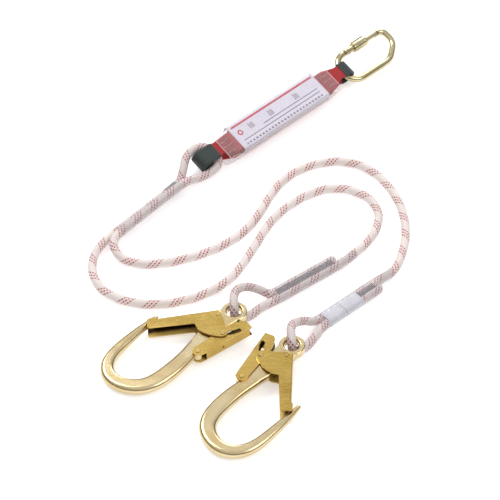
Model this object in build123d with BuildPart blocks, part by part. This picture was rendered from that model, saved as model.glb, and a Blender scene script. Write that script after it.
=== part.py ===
from build123d import *
import os
from math import atan2, cos, degrees, radians, sin, sqrt, tan

# Twin-leg shock absorbing lanyard, millimetres, +Z up, lying on its floor at z = 0.
# Origin: bottom centre of the box round the hard parts and the absorber.

os.makedirs("parts", exist_ok=True)

# ---------------------------------------------------------------- driving dimensions
OX, OY = -9.2, -27.2                     # shift of the laid-out drawing to the part's origin

ROPE_D = 12.0                         # kernmantle rope
LAY = 6.1                             # height of the rope's centre where it lies on the floor
SEWN = 7.8                            # the same inside a shrink tube
STRAND = 12.5                         # centre distance of two strands sewn side by side
TUBE_BORE = 13.3                      # clear shrink tube on the hook splices
TUBE_OD = 14.5
FILM_BORE, FILM_OD = 14.0, 15.2       # the same tube past the rope's cut end
Y_BORE = 13.9                         # clear shrink tube on the middle splice
Y_OD = 15.1

HEADING_K, ROLL_K = 44.4, 20.0        # absorber and karabiner share one tilted frame
LIFT_K = 16.8
STRAP_T = 2.5                         # webbing thickness
STRAP_IN = 8.1                        # half of the space inside a webbing loop
LINING = 0.6                          # wear sleeve inside the loop
SLEEVE_T = 0.85                       # wear sleeve outside the loop
KARABINER_END = 140.2                 # centre of the round end of the karabiner's loop
ROPE_END = -142.0                     # centre of the round end of the rope's loop

BAR_D = 10.0                          # karabiner bar
KAR_C = (189.8, 1.8)                  # karabiner centre in the absorber's frame
KAR_HALF_L, KAR_HALF_W = 52.0, 23.5   # to the bar's centre line
HINGE_U, NOSE_U = -21.0, 37.5         # gate hinge rivet and nose pin along the gate
GATE_A, GATE_B = -25.5, 40.5          # ends of the gate barrel
SLEEVE_A, SLEEVE_B = -8.0, 17.0       # ends of the screw sleeve, unlocked
SLEEVE_D = 16.4

HEADING_1, PITCH_1, AT_1 = -140.9, -3.4, (-42.4, -152.15, 18.3)
HEADING_2, PITCH_2, AT_2 = -122.68, -3.1, (48.41, -226.95, 17.4)
BODY_HALF = 5.5                       # half thickness of the forged hook at its head
LEVER_IN, LEVER_OUT = 6.0, 7.6        # lever cheeks, half widths
GATE_IN, GATE_OUT = 8.0, 9.8          # gate cheeks, half widths
PIVOT_A = (0.0, 0.0)                  # gate rivet
PIVOT_B = (16.4, -30.1)               # lock pin
PIVOT_C = (59.8, -32.0)               # lever rivet
RING = (-22.5, -6.0)                  # eye of the hook
RING_R, EYE_R = 17.5, 10.0
PIN_A, PIN_B, PIN_C = 6.0, 5.0, 5.0   # rivet diameters
GATE_OPEN, LEVER_SQUEEZE = 35.0, 5.0  # degrees

R = ROPE_D / 2


def at(x, y, z):
    return (x + OX, y + OY, z)


def unit(heading, pitch=0.0):
    h, p = radians(heading), radians(pitch)
    return Vector(cos(h) * cos(p), sin(h) * cos(p), sin(p))


# The absorber's frame: x along the pack towards the karabiner, y across it, rolled up.
kx = unit(HEADING_K)
kl = Vector(-sin(radians(HEADING_K)), cos(radians(HEADING_K)), 0)
ky = kl * cos(radians(ROLL_K)) + Vector(0, 0, 1) * sin(radians(ROLL_K))
ABSORBER = Plane(origin=at(38.0, 258.0, LIFT_K), x_dir=kx, z_dir=kx.cross(ky))
KARABINER = Plane(
    origin=ABSORBER.from_local_coords(Vector(KAR_C[0], KAR_C[1], 0)), x_dir=kx, z_dir=kx.cross(ky)
)

# Each hook's frame: x from its eye to its bow, y towards the gate, z through its rivets.
x1, x2 = unit(HEADING_1, PITCH_1), unit(HEADING_2, PITCH_2)
l1 = Vector(-sin(radians(HEADING_1)), cos(radians(HEADING_1)), 0)
l2 = Vector(-sin(radians(HEADING_2)), cos(radians(HEADING_2)), 0)
HOOK_1 = Plane(origin=at(*AT_1), x_dir=x1, z_dir=l1.cross(x1))
HOOK_2 = Plane(origin=at(*AT_2), x_dir=x2, z_dir=x2.cross(l2))
EYE_1 = HOOK_1.from_local_coords(Vector(RING[0], RING[1], 0))
EYE_2 = HOOK_2.from_local_coords(Vector(RING[0], RING[1], 0))

PLACED = []  # (node name, form, plane)


# ---------------------------------------------------------------- the rope
def along(start, direction, s, side=0.0, z=LAY):
    """A point s along a splice, side to its right."""
    return at(start[0] + direction[0] * s + direction[1] * side, start[1] + direction[1] * s - direction[0] * side, z)


S1, D1 = (32.5, -99.8), (0.785, 0.6195)      # splice at hook 1: eye end, direction
S2, D2 = (97.5, -146.5), (0.7373, 0.6756)    # splice at hook 2
YA, DY = (-98.5, 121.3), (-0.6499, -0.7600)  # middle splice: absorber end, direction
TAIL_1, FILM_1 = 111.0, 136.0                # rope end and film end along splice 1
TAIL_2, FILM_2 = 102.0, 133.0
Y_LEN = 131.0
H = STRAND / 2
Y_TILT = 12.0
ys, yz = H * sin(radians(Y_TILT)), H * cos(radians(Y_TILT))
Y_MID = SEWN + yz
OVER_1, UNDER_1 = 32.0, 7.0
OVER_2, UNDER_2 = 31.0, 6.6

ROUTE = [
    # tail in splice 1, up over the ring of hook 1, down its eye, back along the splice
    along(S1, D1, TAIL_1, -H, SEWN), along(S1, D1, 80, -H - 0.1, SEWN), along(S1, D1, 49, -H + 0.1, SEWN), along(S1, D1, 19, -H - 0.1, SEWN),
    along(S1, D1, -2, -H, SEWN),
    at(14.5, -91.0, 13.0), at(-7.5, -94.0, 24.0), at(-22.3, -114.0, OVER_1),
    (EYE_1.X, EYE_1.Y, OVER_1), (EYE_1.X, EYE_1.Y, UNDER_1),
    at(0.5, -135.0, 6.3), at(14.5, -118.5, 6.6),
    along(S1, D1, -8, H, SEWN), along(S1, D1, 18, H + 0.1, SEWN), along(S1, D1, 50, H - 0.1, SEWN), along(S1, D1, 84, H + 0.1, SEWN),
    along(S1, D1, 113, H, SEWN), along(S1, D1, 143, 2.2, SEWN),
    # leg 1
    at(163.5, 10.0, 6.4), at(176.5, 36.5, LAY), at(181.0, 67.0, LAY), at(170.0, 97.0, LAY), at(146.3, 115.5, LAY),
    at(114.1, 120.5, LAY), at(85.5, 108.5, LAY), at(60.3, 89.0, LAY), at(39.7, 66.3, LAY), at(23.7, 40.6, LAY),
    at(10.5, 9.7, LAY), at(-3.4, -21.0, LAY), at(-19.0, -53.4, LAY), at(-41.1, -78.4, LAY), at(-70.3, -98.0, LAY),
    at(-104.9, -110.0, LAY), at(-139.3, -112.5, LAY), at(-173.0, -104.5, LAY), at(-202.0, -84.5, LAY),
    at(-216.5, -52.0, LAY), at(-215.0, -17.0, 6.4), at(-203.0, 6.0, SEWN),
    # lower strand of the middle splice
    along(YA, DY, Y_LEN + 2, -ys, SEWN), along(YA, DY, 106, -ys - 0.1, SEWN), along(YA, DY, 76, -ys + 0.1, SEWN), along(YA, DY, 46, -ys - 0.1, SEWN),
    along(YA, DY, 17, -ys + 0.1, SEWN), along(YA, DY, -8, -ys, SEWN),
    # the eye through the webbing loop
    at(-79.5, 133.2, 7.6), *(tuple(ABSORBER.from_local_coords(Vector(*p))) for p in (
        (-155.5, -13.6, -3.8), (-138.0, -15.8, 0.0), (-122.5, -9.8, 0.4), (-117.6, 5.5, 0.3),
        (-122.5, 22.8, 0.2), (-140.3, 28.4, 0.0), (-159.6, 23.6, 0.0),
    )), at(-94.5, 143.0, 22.0),
    # upper strand of the middle splice
    along(YA, DY, -8, ys, SEWN + 2 * yz), along(YA, DY, 17, ys + 0.1, SEWN + 2 * yz), along(YA, DY, 46, ys - 0.1, SEWN + 2 * yz),
    along(YA, DY, 76, ys + 0.1, SEWN + 2 * yz), along(YA, DY, 106, ys - 0.1, SEWN + 2 * yz), along(YA, DY, Y_LEN + 2, ys, SEWN + 2 * yz),
    # leg 2
    at(-189.0, 3.0, 17.0), at(-185.0, -13.5, 10.2), at(-173.0, -26.0, 6.4), at(-152.0, -34.0, LAY), at(-128.0, -33.8, LAY),
    at(-99.5, -28.0, LAY), at(-67.8, -15.8, LAY), at(-36.9, 2.2, LAY), at(-12.0, 24.2, LAY), at(7.4, 53.5, LAY),
    at(19.8, 82.4, LAY), at(32.2, 111.4, LAY), at(47.3, 136.4, LAY), at(69.0, 156.8, LAY), at(98.5, 171.7, LAY),
    at(130.0, 177.0, LAY), at(161.0, 166.5, LAY), at(184.0, 143.0, LAY), at(200.5, 113.5, LAY), at(211.8, 79.3, LAY),
    at(216.2, 47.8, LAY), at(215.6, 14.7, LAY), at(208.5, -17.5, 6.6),
    along(S2, D2, 140, -3.6, SEWN), along(S2, D2, 110, -H, SEWN), along(S2, D2, 82, -H - 0.1, SEWN), along(S2, D2, 52, -H + 0.1, SEWN),
    along(S2, D2, 22, -H - 0.1, SEWN), along(S2, D2, -8, -H, SEWN),
    # over the ring of hook 2, down its eye, tail back in splice 2
    at(72.0, -151.5, 15.0), at(58.8, -164.5, 24.5), at(53.6, -180.5, OVER_2),
    (EYE_2.X, EYE_2.Y, OVER_2), (EYE_2.X, EYE_2.Y, UNDER_2),
    at(74.5, -193.5, 6.4), at(86.5, -176.0, 6.6),
    along(S2, D2, -8, H, SEWN), along(S2, D2, 20, H + 0.1, SEWN), along(S2, D2, 48, H - 0.1, SEWN), along(S2, D2, 75, H + 0.1, SEWN), along(S2, D2, TAIL_2, H, SEWN),
]


def arc_radii(points):
    """0.45 of the shorter run at each corner, over the tangent of half its turn."""
    found = []
    for a, b, c in zip(points, points[1:], points[2:]):
        p, q = Vector(*b) - Vector(*a), Vector(*c) - Vector(*b)
        turn = radians(p.get_angle(q))
        found.append(0.45 * min(p.length, q.length) / tan(turn / 2))
    return found


RADII = arc_radii(ROUTE)
runs = [(Vector(*b) - Vector(*a)).length for a, b in zip(ROUTE, ROUTE[1:])]
print("rope runs", [round(v, 1) for v in runs])
print("rope radii", [round(v, 1) for v in RADII])

with BuildPart() as rope:
    with BuildLine() as rope_path:
        FilletPolyline(*ROUTE, radius=RADII)
    rope_wire = rope_path.wire()
    with BuildSketch(Plane(origin=rope_wire @ 0, z_dir=rope_wire % 0)) as rope_section:
        Circle(R)
    sweep(path=rope_wire)
rope_length = rope_wire.length
print("rope length", round(rope_length, 1), "volume", round(rope.part.volume), "section x length", round(3.14159265 * R * R * rope_length))
PLACED.append(("rope", rope, None))


def splice_plane(start, direction, s, z, tilt=90.0):
    """Across a splice: x from strand to strand, z along the splice."""
    right = Vector(direction[1], -direction[0], 0)
    across = right * sin(radians(tilt)) + Vector(0, 0, 1) * cos(radians(tilt))
    origin = Vector(*along(start, direction, s, 0, z))
    return Plane(origin=origin, x_dir=across, z_dir=Vector(direction[0], direction[1], 0))


# clear shrink tubes: two strands side by side, then one strand at the leg end
FILM_DIR_1 = (Vector(*along(S1, D1, 143, 2.2, SEWN)) - Vector(*along(S1, D1, 113, H, SEWN))).normalized()
FILM_DIR_2 = (Vector(*along(S2, D2, 140, -3.6, SEWN)) - Vector(*along(S2, D2, 110, -H, SEWN))).normalized()
FILM_AT_1 = Plane(origin=Vector(*along(S1, D1, 113, H, SEWN)), x_dir=(0, 0, 1), z_dir=FILM_DIR_1)
FILM_AT_2 = Plane(origin=Vector(*along(S2, D2, 110, -H, SEWN)), x_dir=(0, 0, 1), z_dir=FILM_DIR_2)

with BuildPart() as splice_tube_1:
    with BuildSketch(splice_plane(S1, D1, 1.0, SEWN)) as t1_outer:
        SlotCenterToCenter(STRAND, TUBE_OD)
    extrude(amount=TAIL_1 + 3.0)
    with BuildSketch(FILM_AT_1.offset(-3.0)) as t1_single:
        Circle(FILM_OD / 2)
    extrude(amount=FILM_1 - 110.0)
    with BuildSketch(splice_plane(S1, D1, 0.0, SEWN)) as t1_bore:
        SlotCenterToCenter(STRAND, TUBE_BORE)
    extrude(amount=TAIL_1 + 3.2, mode=Mode.SUBTRACT)
    with BuildSketch(FILM_AT_1.offset(-6.0)) as t1_single_bore:
        Circle(FILM_BORE / 2)
    extrude(amount=FILM_1 - 100.0, mode=Mode.SUBTRACT)
PLACED.append(("splice_tube_1", splice_tube_1, None))

with BuildPart() as splice_tube_2:
    with BuildSketch(splice_plane(S2, D2, 1.0, SEWN)) as t2_outer:
        SlotCenterToCenter(STRAND, TUBE_OD)
    extrude(amount=TAIL_2 + 4.0)
    with BuildSketch(FILM_AT_2.offset(-6.0)) as t2_single:
        Circle(FILM_OD / 2)
    extrude(amount=FILM_2 - 104.0)
    with BuildSketch(splice_plane(S2, D2, 0.0, SEWN)) as t2_bore:
        SlotCenterToCenter(STRAND, TUBE_BORE)
    extrude(amount=TAIL_2 + 4.2, mode=Mode.SUBTRACT)
    with BuildSketch(FILM_AT_2.offset(-9.0)) as t2_single_bore:
        Circle(FILM_BORE / 2)
    extrude(amount=FILM_2 - 95.0, mode=Mode.SUBTRACT)
PLACED.append(("splice_tube_2", splice_tube_2, None))

with BuildPart() as y_shrink_tube:
    with BuildSketch(splice_plane(YA, DY, 2.0, Y_MID, Y_TILT)) as ty_outer:
        SlotCenterToCenter(STRAND, Y_OD)
    extrude(amount=Y_LEN - 4.0)
    with BuildSketch(splice_plane(YA, DY, 1.0, Y_MID, Y_TILT)) as ty_bore:
        SlotCenterToCenter(STRAND, Y_BORE)
    extrude(amount=Y_LEN, mode=Mode.SUBTRACT)
PLACED.append(("y_shrink_tube", y_shrink_tube, None))


# thread seams lying in the grooves between the two strands, joined through the gap
with BuildSketch() as seam_profile:
    Rectangle(0.2, 10.0)
    with BuildLine():
        Polyline((-1.3, 4.6), (1.3, 4.6), (2.6, 5.85), (-2.6, 5.85), close=True)
    make_face()
    with BuildLine():
        Polyline((-1.3, -4.6), (1.3, -4.6), (2.6, -5.85), (-2.6, -5.85), close=True)
    make_face()


with BuildPart() as splice_stitching_1:
    with BuildSketch(splice_plane(S1, D1, 6.0, SEWN)) as seam_1:
        add(seam_profile.sketch)
    extrude(amount=97.0)
PLACED.append(("splice_stitching_1", splice_stitching_1, None))

with BuildPart() as splice_stitching_2:
    with BuildSketch(splice_plane(S2, D2, 6.0, SEWN)) as seam_2:
        add(seam_profile.sketch)
    extrude(amount=90.0)
PLACED.append(("splice_stitching_2", splice_stitching_2, None))

with BuildPart() as y_stitching:
    with BuildSketch(splice_plane(YA, DY, 4.0, Y_MID, Y_TILT)) as seam_y:
        SlotCenterToCenter(STRAND, 13.6)
        SlotCenterToCenter(STRAND, 12.6, mode=Mode.SUBTRACT)
    extrude(amount=24.0)
PLACED.append(("y_stitching", y_stitching, None))

with BuildPart() as marking_label:
    with BuildSketch(splice_plane(S2, D2, 4.0, SEWN)) as wrap:
        SlotCenterToCenter(STRAND, 13.0)
        SlotCenterToCenter(STRAND, 12.6, mode=Mode.SUBTRACT)
    extrude(amount=62.0)
PLACED.append(("marking_label", marking_label, None))

# ---------------------------------------------------------------- the energy absorber
PACK_A, PACK_B = -78.0, 86.0
PACK_V0, PACK_V1 = -16.5, 23.5
LAYERS, PLY, PITCH = 6, 2.4, 2.68
STACK = LAYERS * PLY + (LAYERS - 1) * (PITCH - PLY)

# one length of tear webbing folded on itself, each fold a round turn drawn square
with BuildPart() as tear_webbing:
    for i in range(LAYERS):
        w = -STACK / 2 + i * PITCH + PLY / 2
        with BuildSketch(Plane.XY.offset(w - PLY / 2)):
            with Locations(((PACK_A + PACK_B) / 2, (PACK_V0 + PACK_V1) / 2)):
                Rectangle(PACK_B - PACK_A, PACK_V1 - PACK_V0)
        extrude(amount=PLY)
        if i < LAYERS - 1:
            u = PACK_B - 1.2 if i % 2 == 0 else PACK_A + 1.2
            with BuildSketch(Plane.XY.offset(w)):
                with Locations((u, (PACK_V0 + PACK_V1) / 2)):
                    Rectangle(2.4, PACK_V1 - PACK_V0)
            extrude(amount=PITCH)
PLACED.append(("tear_webbing", tear_webbing, ABSORBER))


def loop_profile(tip, start, inner, outer):
    """The side of a webbing loop: two straight plies and a round turn, from start to tip."""
    s = 1 if tip > start else -1
    with BuildSketch() as profile:
        with BuildLine():
            Line((start, outer), (tip, outer))
            ThreePointArc((tip, outer), (tip + s * outer, 0), (tip, -outer))
            Line((tip, -outer), (start, -outer))
            Line((start, -outer), (start, -inner))
            Line((start, -inner), (tip, -inner))
            ThreePointArc((tip, -inner), (tip + s * inner, 0), (tip, inner))
            Line((tip, inner), (start, inner))
            Line((start, inner), (start, outer))
        make_face()
    return profile.sketch


# side view planes look along -y of the absorber's frame, so x stays along it and y is up
SIDE = Plane(origin=(0, 0, 0), x_dir=(1, 0, 0), z_dir=(0, -1, 0))
S_OUT = STRAP_IN + STRAP_T

with BuildPart() as karabiner_loop:
    with BuildSketch(SIDE.offset(-40)):
        add(loop_profile(KARABINER_END, 30.0, STRAP_IN, S_OUT))
    extrude(amount=80)
    with BuildSketch(Plane.XY.offset(-20)):
        with BuildLine():
            Polyline((20, -14), (108, -14), (126, -8.7), (160, -8.7), (160, 12.3), (126, 12.3), (108, 18.5), (20, 18.5), close=True)
        make_face()
    extrude(amount=40, mode=Mode.INTERSECT)
PLACED.append(("karabiner_loop", karabiner_loop, ABSORBER))

with BuildPart() as rope_loop:
    with BuildSketch(SIDE.offset(-40)):
        add(loop_profile(ROPE_END, -25.0, STRAP_IN, S_OUT))
    extrude(amount=80)
    with BuildSketch(Plane.XY.offset(-20)):
        with BuildLine():
            Polyline((-20, -14.5), (-94, -14.5), (-111.5, -6.0), (-160, -6.0), (-160, 16.2), (-111.5, 16.6), (-94, 18.0), (-20, 18.0), close=True)
        make_face()
    extrude(amount=40, mode=Mode.INTERSECT)
PLACED.append(("rope_loop", rope_loop, ABSORBER))


with BuildPart() as karabiner_wear_sleeve:
    with BuildSketch(SIDE.offset(-13.3)):
        add(loop_profile(KARABINER_END, 131.0, STRAP_IN - LINING, S_OUT + 0.05 + SLEEVE_T))
    extrude(amount=23.0)
    with BuildSketch(SIDE.offset(-40)):
        add(loop_profile(KARABINER_END, 120.0, STRAP_IN - 0.05, S_OUT + 0.05))
    extrude(amount=80, mode=Mode.SUBTRACT)
    with BuildSketch(SIDE.offset(-13.3)):
        add(loop_profile(KARABINER_END, 131.0, STRAP_IN - LINING, S_OUT + 0.05 + SLEEVE_T))
    extrude(amount=0.8)
    with BuildSketch(SIDE.offset(8.9)):
        add(loop_profile(KARABINER_END, 131.0, STRAP_IN - LINING, S_OUT + 0.05 + SLEEVE_T))
    extrude(amount=0.8)
PLACED.append(("karabiner_wear_sleeve", karabiner_wear_sleeve, ABSORBER))

with BuildPart() as rope_wear_sleeve:
    with BuildSketch(SIDE.offset(-17.6)):
        add(loop_profile(ROPE_END, -112.0, STRAP_IN - LINING, S_OUT + 0.05 + SLEEVE_T))
    extrude(amount=24.6)
    with BuildSketch(SIDE.offset(-40)):
        add(loop_profile(ROPE_END, -100.0, STRAP_IN - 0.05, S_OUT + 0.05))
    extrude(amount=80, mode=Mode.SUBTRACT)
    with BuildSketch(SIDE.offset(-17.6)):
        add(loop_profile(ROPE_END, -112.0, STRAP_IN - LINING, S_OUT + 0.05 + SLEEVE_T))
    extrude(amount=0.8)
    with BuildSketch(SIDE.offset(6.2)):
        add(loop_profile(ROPE_END, -112.0, STRAP_IN - LINING, S_OUT + 0.05 + SLEEVE_T))
    extrude(amount=0.8)
PLACED.append(("rope_wear_sleeve", rope_wear_sleeve, ABSORBER))


# rows of thread lying on the webbing's outer face, tied by one long row
with BuildSketch() as bar_tacks:
    Rectangle(14.0, 1.0)
    with GridLocations(2.8, 1.0, 6, 1):
        Rectangle(1.0, 28.0)


with BuildPart() as karabiner_loop_stitching:
    with BuildSketch(Plane.XY.offset(S_OUT + 0.02)):
        with Locations((99.0, 2.0)):
            add(bar_tacks.sketch)
    extrude(amount=0.3)
PLACED.append(("karabiner_loop_stitching", karabiner_loop_stitching, ABSORBER))

with BuildPart() as rope_loop_stitching:
    with BuildSketch(Plane.XY.offset(S_OUT + 0.02)):
        with Locations((-99.0, 2.0)):
            add(bar_tacks.sketch)
    extrude(amount=0.3)
PLACED.append(("rope_loop_stitching", rope_loop_stitching, ABSORBER))


# clear shrink cover: a flat tube over the pack, drawn in over the straps at both ends
def cover_section(u, v0, v1, half, r):
    with BuildSketch(Plane(origin=(u, (v0 + v1) / 2, 0), x_dir=(0, 1, 0), z_dir=(1, 0, 0))) as section:
        RectangleRounded(v1 - v0, 2 * half, r)
    return section.sketch.face()


with BuildPart() as shrink_cover:
    loft([cover_section(-110.0, -17.5, 20.5, 11.9, 5.0), cover_section(-86.0, -20.5, 27.0, 11.9, 5.0)])
    loft([cover_section(-86.0, -20.5, 27.0, 11.9, 5.0), cover_section(92.0, -20.5, 27.0, 11.9, 5.0)])
    loft([cover_section(92.0, -20.5, 27.0, 11.9, 5.0), cover_section(111.0, -17.0, 21.0, 11.9, 5.0)])
with BuildPart() as cover_bore:
    loft([cover_section(-110.5, -16.8, 19.8, 11.3, 4.4), cover_section(-86.0, -19.9, 26.4, 11.3, 4.4)])
    loft([cover_section(-86.0, -19.9, 26.4, 11.3, 4.4), cover_section(92.0, -19.9, 26.4, 11.3, 4.4)])
    loft([cover_section(92.0, -19.9, 26.4, 11.3, 4.4), cover_section(111.5, -16.3, 20.3, 11.3, 4.4)])
with BuildPart() as shrink_cover_shell:
    add(shrink_cover.part)
    add(cover_bore.part, mode=Mode.SUBTRACT)
PLACED.append(("shrink_cover", shrink_cover_shell, ABSORBER))

with BuildPart() as label_card:
    with BuildSketch(Plane.XY.offset(S_OUT + 0.38)):
        with Locations((2.5, 3.2)):
            Rectangle(170.0, 38.6)
    extrude(amount=0.22)
PLACED.append(("label_card", label_card, ABSORBER))

# ---------------------------------------------------------------- the karabiner
BR = BAR_D / 2
GV = KAR_HALF_W
SHOULDER_A, SHOULDER_B = -28.0, 41.3

with BuildPart() as karabiner_body:
    with BuildLine() as bar_path:
        FilletPolyline(
            (SHOULDER_A, GV), (-KAR_HALF_L, GV), (-KAR_HALF_L, -GV), (27.0, -GV), (53.0, -3.5), (53.0, GV), (SHOULDER_B, GV),
            radius=[23.0, 23.0, 30.0, 21.0, 11.5],
        )
    bar_wire = bar_path.wire()
    with BuildSketch(Plane(origin=bar_wire @ 0, z_dir=bar_wire % 0)) as bar_section:
        Circle(BR)
    sweep(path=bar_wire)
    # hinge tongue
    with BuildSketch(Plane.XY.offset(-2.0)) as tongue:
        with BuildLine():
            Polyline((SHOULDER_A - 1, GV - 4.2), (HINGE_U, GV - 4.2), (HINGE_U, GV + 4.2), (SHOULDER_A - 1, GV + 4.2), close=True)
        make_face()
        with Locations((HINGE_U, GV)):
            Circle(4.2)
    extrude(amount=4.0)
    with Locations((HINGE_U, GV, 0)):
        Cylinder(1.8, 6.0, mode=Mode.SUBTRACT)
    # nose tongue with a notch for the gate's pin, open inwards
    with BuildSketch(Plane.XY.offset(-2.0)) as nose:
        with BuildLine():
            Polyline((SHOULDER_B + 1, GV - 3.6), (NOSE_U - 2.6, GV - 2.6), (NOSE_U - 2.6, GV + 3.0), (SHOULDER_B + 1, GV + 3.8), close=True)
        make_face()
        with Locations((NOSE_U, GV)):
            Circle(1.55, mode=Mode.SUBTRACT)
        with Locations((NOSE_U - 0.1, GV - 3.0)):
            Rectangle(3.1, 6.0, mode=Mode.SUBTRACT)
    extrude(amount=4.0)
PLACED.append(("karabiner_body", karabiner_body, KARABINER))

ALONG = Plane(origin=(0, GV, 0), x_dir=(0, 1, 0), z_dir=(1, 0, 0))

with BuildPart() as karabiner_gate:
    with BuildSketch(ALONG.offset(GATE_A)):
        Circle(BR)
    extrude(amount=GATE_B - GATE_A)
    chamfer(karabiner_gate.edges().filter_by(GeomType.CIRCLE), 0.6)
    # slots for the hinge tongue and for the nose
    with Locations(((GATE_A + HINGE_U + 5.2) / 2 - 1, GV, 0)):
        Box(HINGE_U + 5.2 - GATE_A + 2, 12, 4.4, mode=Mode.SUBTRACT)
    with Locations(((GATE_B + NOSE_U - 3.1) / 2 + 1, GV, 0)):
        Box(GATE_B - NOSE_U + 3.1 + 2, 12, 4.4, mode=Mode.SUBTRACT)
    # bore for plunger and spring
    with BuildSketch(ALONG.offset(HINGE_U + 5.0)):
        Circle(2.6)
    extrude(amount=33.0, mode=Mode.SUBTRACT)
    with Locations((HINGE_U, GV, 0)):
        Cylinder(1.81, 12.0, mode=Mode.SUBTRACT)
    with Locations((NOSE_U, GV, 0)):
        Cylinder(1.25, 12.0, mode=Mode.SUBTRACT)
PLACED.append(("karabiner_gate", karabiner_gate, KARABINER))

with BuildPart() as karabiner_gate_rivet:
    with Locations((HINGE_U, GV, 0)):
        Cylinder(1.75, 9.6)
    chamfer(karabiner_gate_rivet.edges().filter_by(GeomType.CIRCLE), 0.3)
PLACED.append(("karabiner_gate_rivet", karabiner_gate_rivet, KARABINER))

with BuildPart() as karabiner_nose_pin:
    with Locations((NOSE_U, GV, 0)):
        Cylinder(1.25, 9.6)
PLACED.append(("karabiner_nose_pin", karabiner_nose_pin, KARABINER))

with BuildPart() as karabiner_spring_plunger:
    with BuildSketch(ALONG.offset(HINGE_U + 4.5)):
        Circle(1.9)
    extrude(amount=0.7)
    with BuildSketch(ALONG.offset(HINGE_U + 5.2)):
        Circle(2.4)
    extrude(amount=6.0)
PLACED.append(("karabiner_spring_plunger", karabiner_spring_plunger, KARABINER))

with BuildPart() as karabiner_gate_spring:
    with BuildLine() as kg_coil:
        Helix(pitch=2.2, height=19.8, radius=1.95, center=(HINGE_U + 12.2, GV, 0), direction=(1, 0, 0))
    kg_wire = kg_coil.wire()
    with BuildSketch(Plane(origin=kg_wire @ 0, z_dir=kg_wire % 0)):
        Circle(0.35)
    sweep(path=kg_wire, is_frenet=True)
PLACED.append(("karabiner_gate_spring", karabiner_gate_spring, KARABINER))

with BuildPart() as karabiner_screw_sleeve:
    with BuildSketch(ALONG.offset(SLEEVE_A)):
        Circle(SLEEVE_D / 2)
        Circle(BR + 0.15, mode=Mode.SUBTRACT)
    extrude(amount=SLEEVE_B - SLEEVE_A)
    chamfer(karabiner_screw_sleeve.edges().filter_by(GeomType.CIRCLE).filter_by(lambda e: e.radius > 7), 1.2)
    with BuildSketch(ALONG.offset(SLEEVE_A + 4.0)):
        Circle(SLEEVE_D / 2 + 1)
        Circle(SLEEVE_D / 2 - 0.8, mode=Mode.SUBTRACT)
    extrude(amount=1.2, mode=Mode.SUBTRACT)
    with BuildSketch(ALONG.offset(SLEEVE_B - 5.2)):
        Circle(SLEEVE_D / 2 + 1)
        Circle(SLEEVE_D / 2 - 0.8, mode=Mode.SUBTRACT)
    extrude(amount=1.2, mode=Mode.SUBTRACT)
PLACED.append(("karabiner_screw_sleeve", karabiner_screw_sleeve, KARABINER))

# ---------------------------------------------------------------- the scaffold hooks
# centre line of the forging from the head round the bow to the tip: x, y, width, thickness
STATIONS = [
    (28.0, -12.6, 24.0, 11.0), (42.0, -16.0, 22.5, 11.0), (58.0, -20.2, 22.0, 11.0), (80.0, -26.2, 22.5, 11.4),
    (104.0, -30.6, 24.0, 12.2), (126.0, -32.2, 24.2, 13.0), (144.0, -29.2, 23.2, 13.4), (158.5, -20.0, 22.0, 13.4),
    (168.5, -5.0, 20.8, 13.4), (171.5, 12.0, 19.6, 13.4), (166.0, 27.5, 18.4, 13.2), (152.5, 39.5, 17.2, 13.0),
    (134.0, 46.3, 15.6, 12.6), (115.0, 50.0, 14.0, 12.0), (98.0, 52.8, 12.2, 11.0), (82.0, 55.0, 9.6, 9.6), (68.0, 56.4, 7.2, 8.0),
    (59.0, 57.0, 5.0, 6.0),
]


def heading(i):
    a, b = STATIONS[max(i - 1, 0)], STATIONS[min(i + 1, len(STATIONS) - 1)]
    return Vector(b[0] - a[0], b[1] - a[1], 0).normalized()


with BuildPart() as hook_body:
    for i, (u, v, width, thick) in enumerate(STATIONS):
        t = heading(i)
        with BuildSketch(Plane(origin=(u, v, 0), x_dir=(-t.Y, t.X, 0), z_dir=t)):
            RectangleRounded(width, thick, 0.44 * min(width, thick))
    loft()
    fillet(hook_body.faces().sort_by(lambda f: (f.center() - Vector(59.0, 57.0, 0)).length)[0].edges(), 1.2)
with BuildPart() as hook_head:
    with BuildSketch(Plane.XY.offset(-BODY_HALF)) as head_outline:
        with BuildLine():
            Polyline(
                (-24, -21.5), (0, -22.0), (24, -24.6), (44, -27.6), (54, -29.6), (54, -9.5), (40, -4.2), (26, 0.2), (12, 3.4),
                (3, 5.6), (-3, 6.2), (-10, 8.2), (-24, 9.0),
                close=True,
            )
        make_face()
        with Locations(RING):
            Circle(RING_R)
        with Locations(PIVOT_A):
            Circle(6.2)
        with Locations(PIVOT_C):
            Circle(6.0)
    extrude(amount=2 * BODY_HALF)
    chamfer(hook_head.faces().filter_by(Axis.Z).edges(), 0.9)
with BuildPart() as hook_forging:
    add(hook_body.part)
    add(hook_head.part)
    with Locations((RING[0], RING[1], 0)):
        Cylinder(EYE_R, 30, mode=Mode.SUBTRACT)
    eye_edges = hook_forging.edges().filter_by(GeomType.CIRCLE).filter_by(lambda e: abs(e.radius - EYE_R) < 0.01)
    fillet(eye_edges, 2.6)
    with Locations((PIVOT_A[0], PIVOT_A[1], 0)):
        Cylinder(PIN_A / 2 + 0.05, 30, mode=Mode.SUBTRACT)
    with Locations((PIVOT_C[0], PIVOT_C[1], 0)):
        Cylinder(PIN_C / 2 + 0.05, 30, mode=Mode.SUBTRACT)

# the gate: a bent sheet channel whose back runs down the outer line
GD = Vector(0.862, 0.507, 0)
GN = Vector(-0.507, 0.862, 0)
GATE_LINE = 8.5
GATE_T = 1.8


def gate_point(s, off):
    p = GD * s + GN * off
    return (p.X, p.Y)


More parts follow.
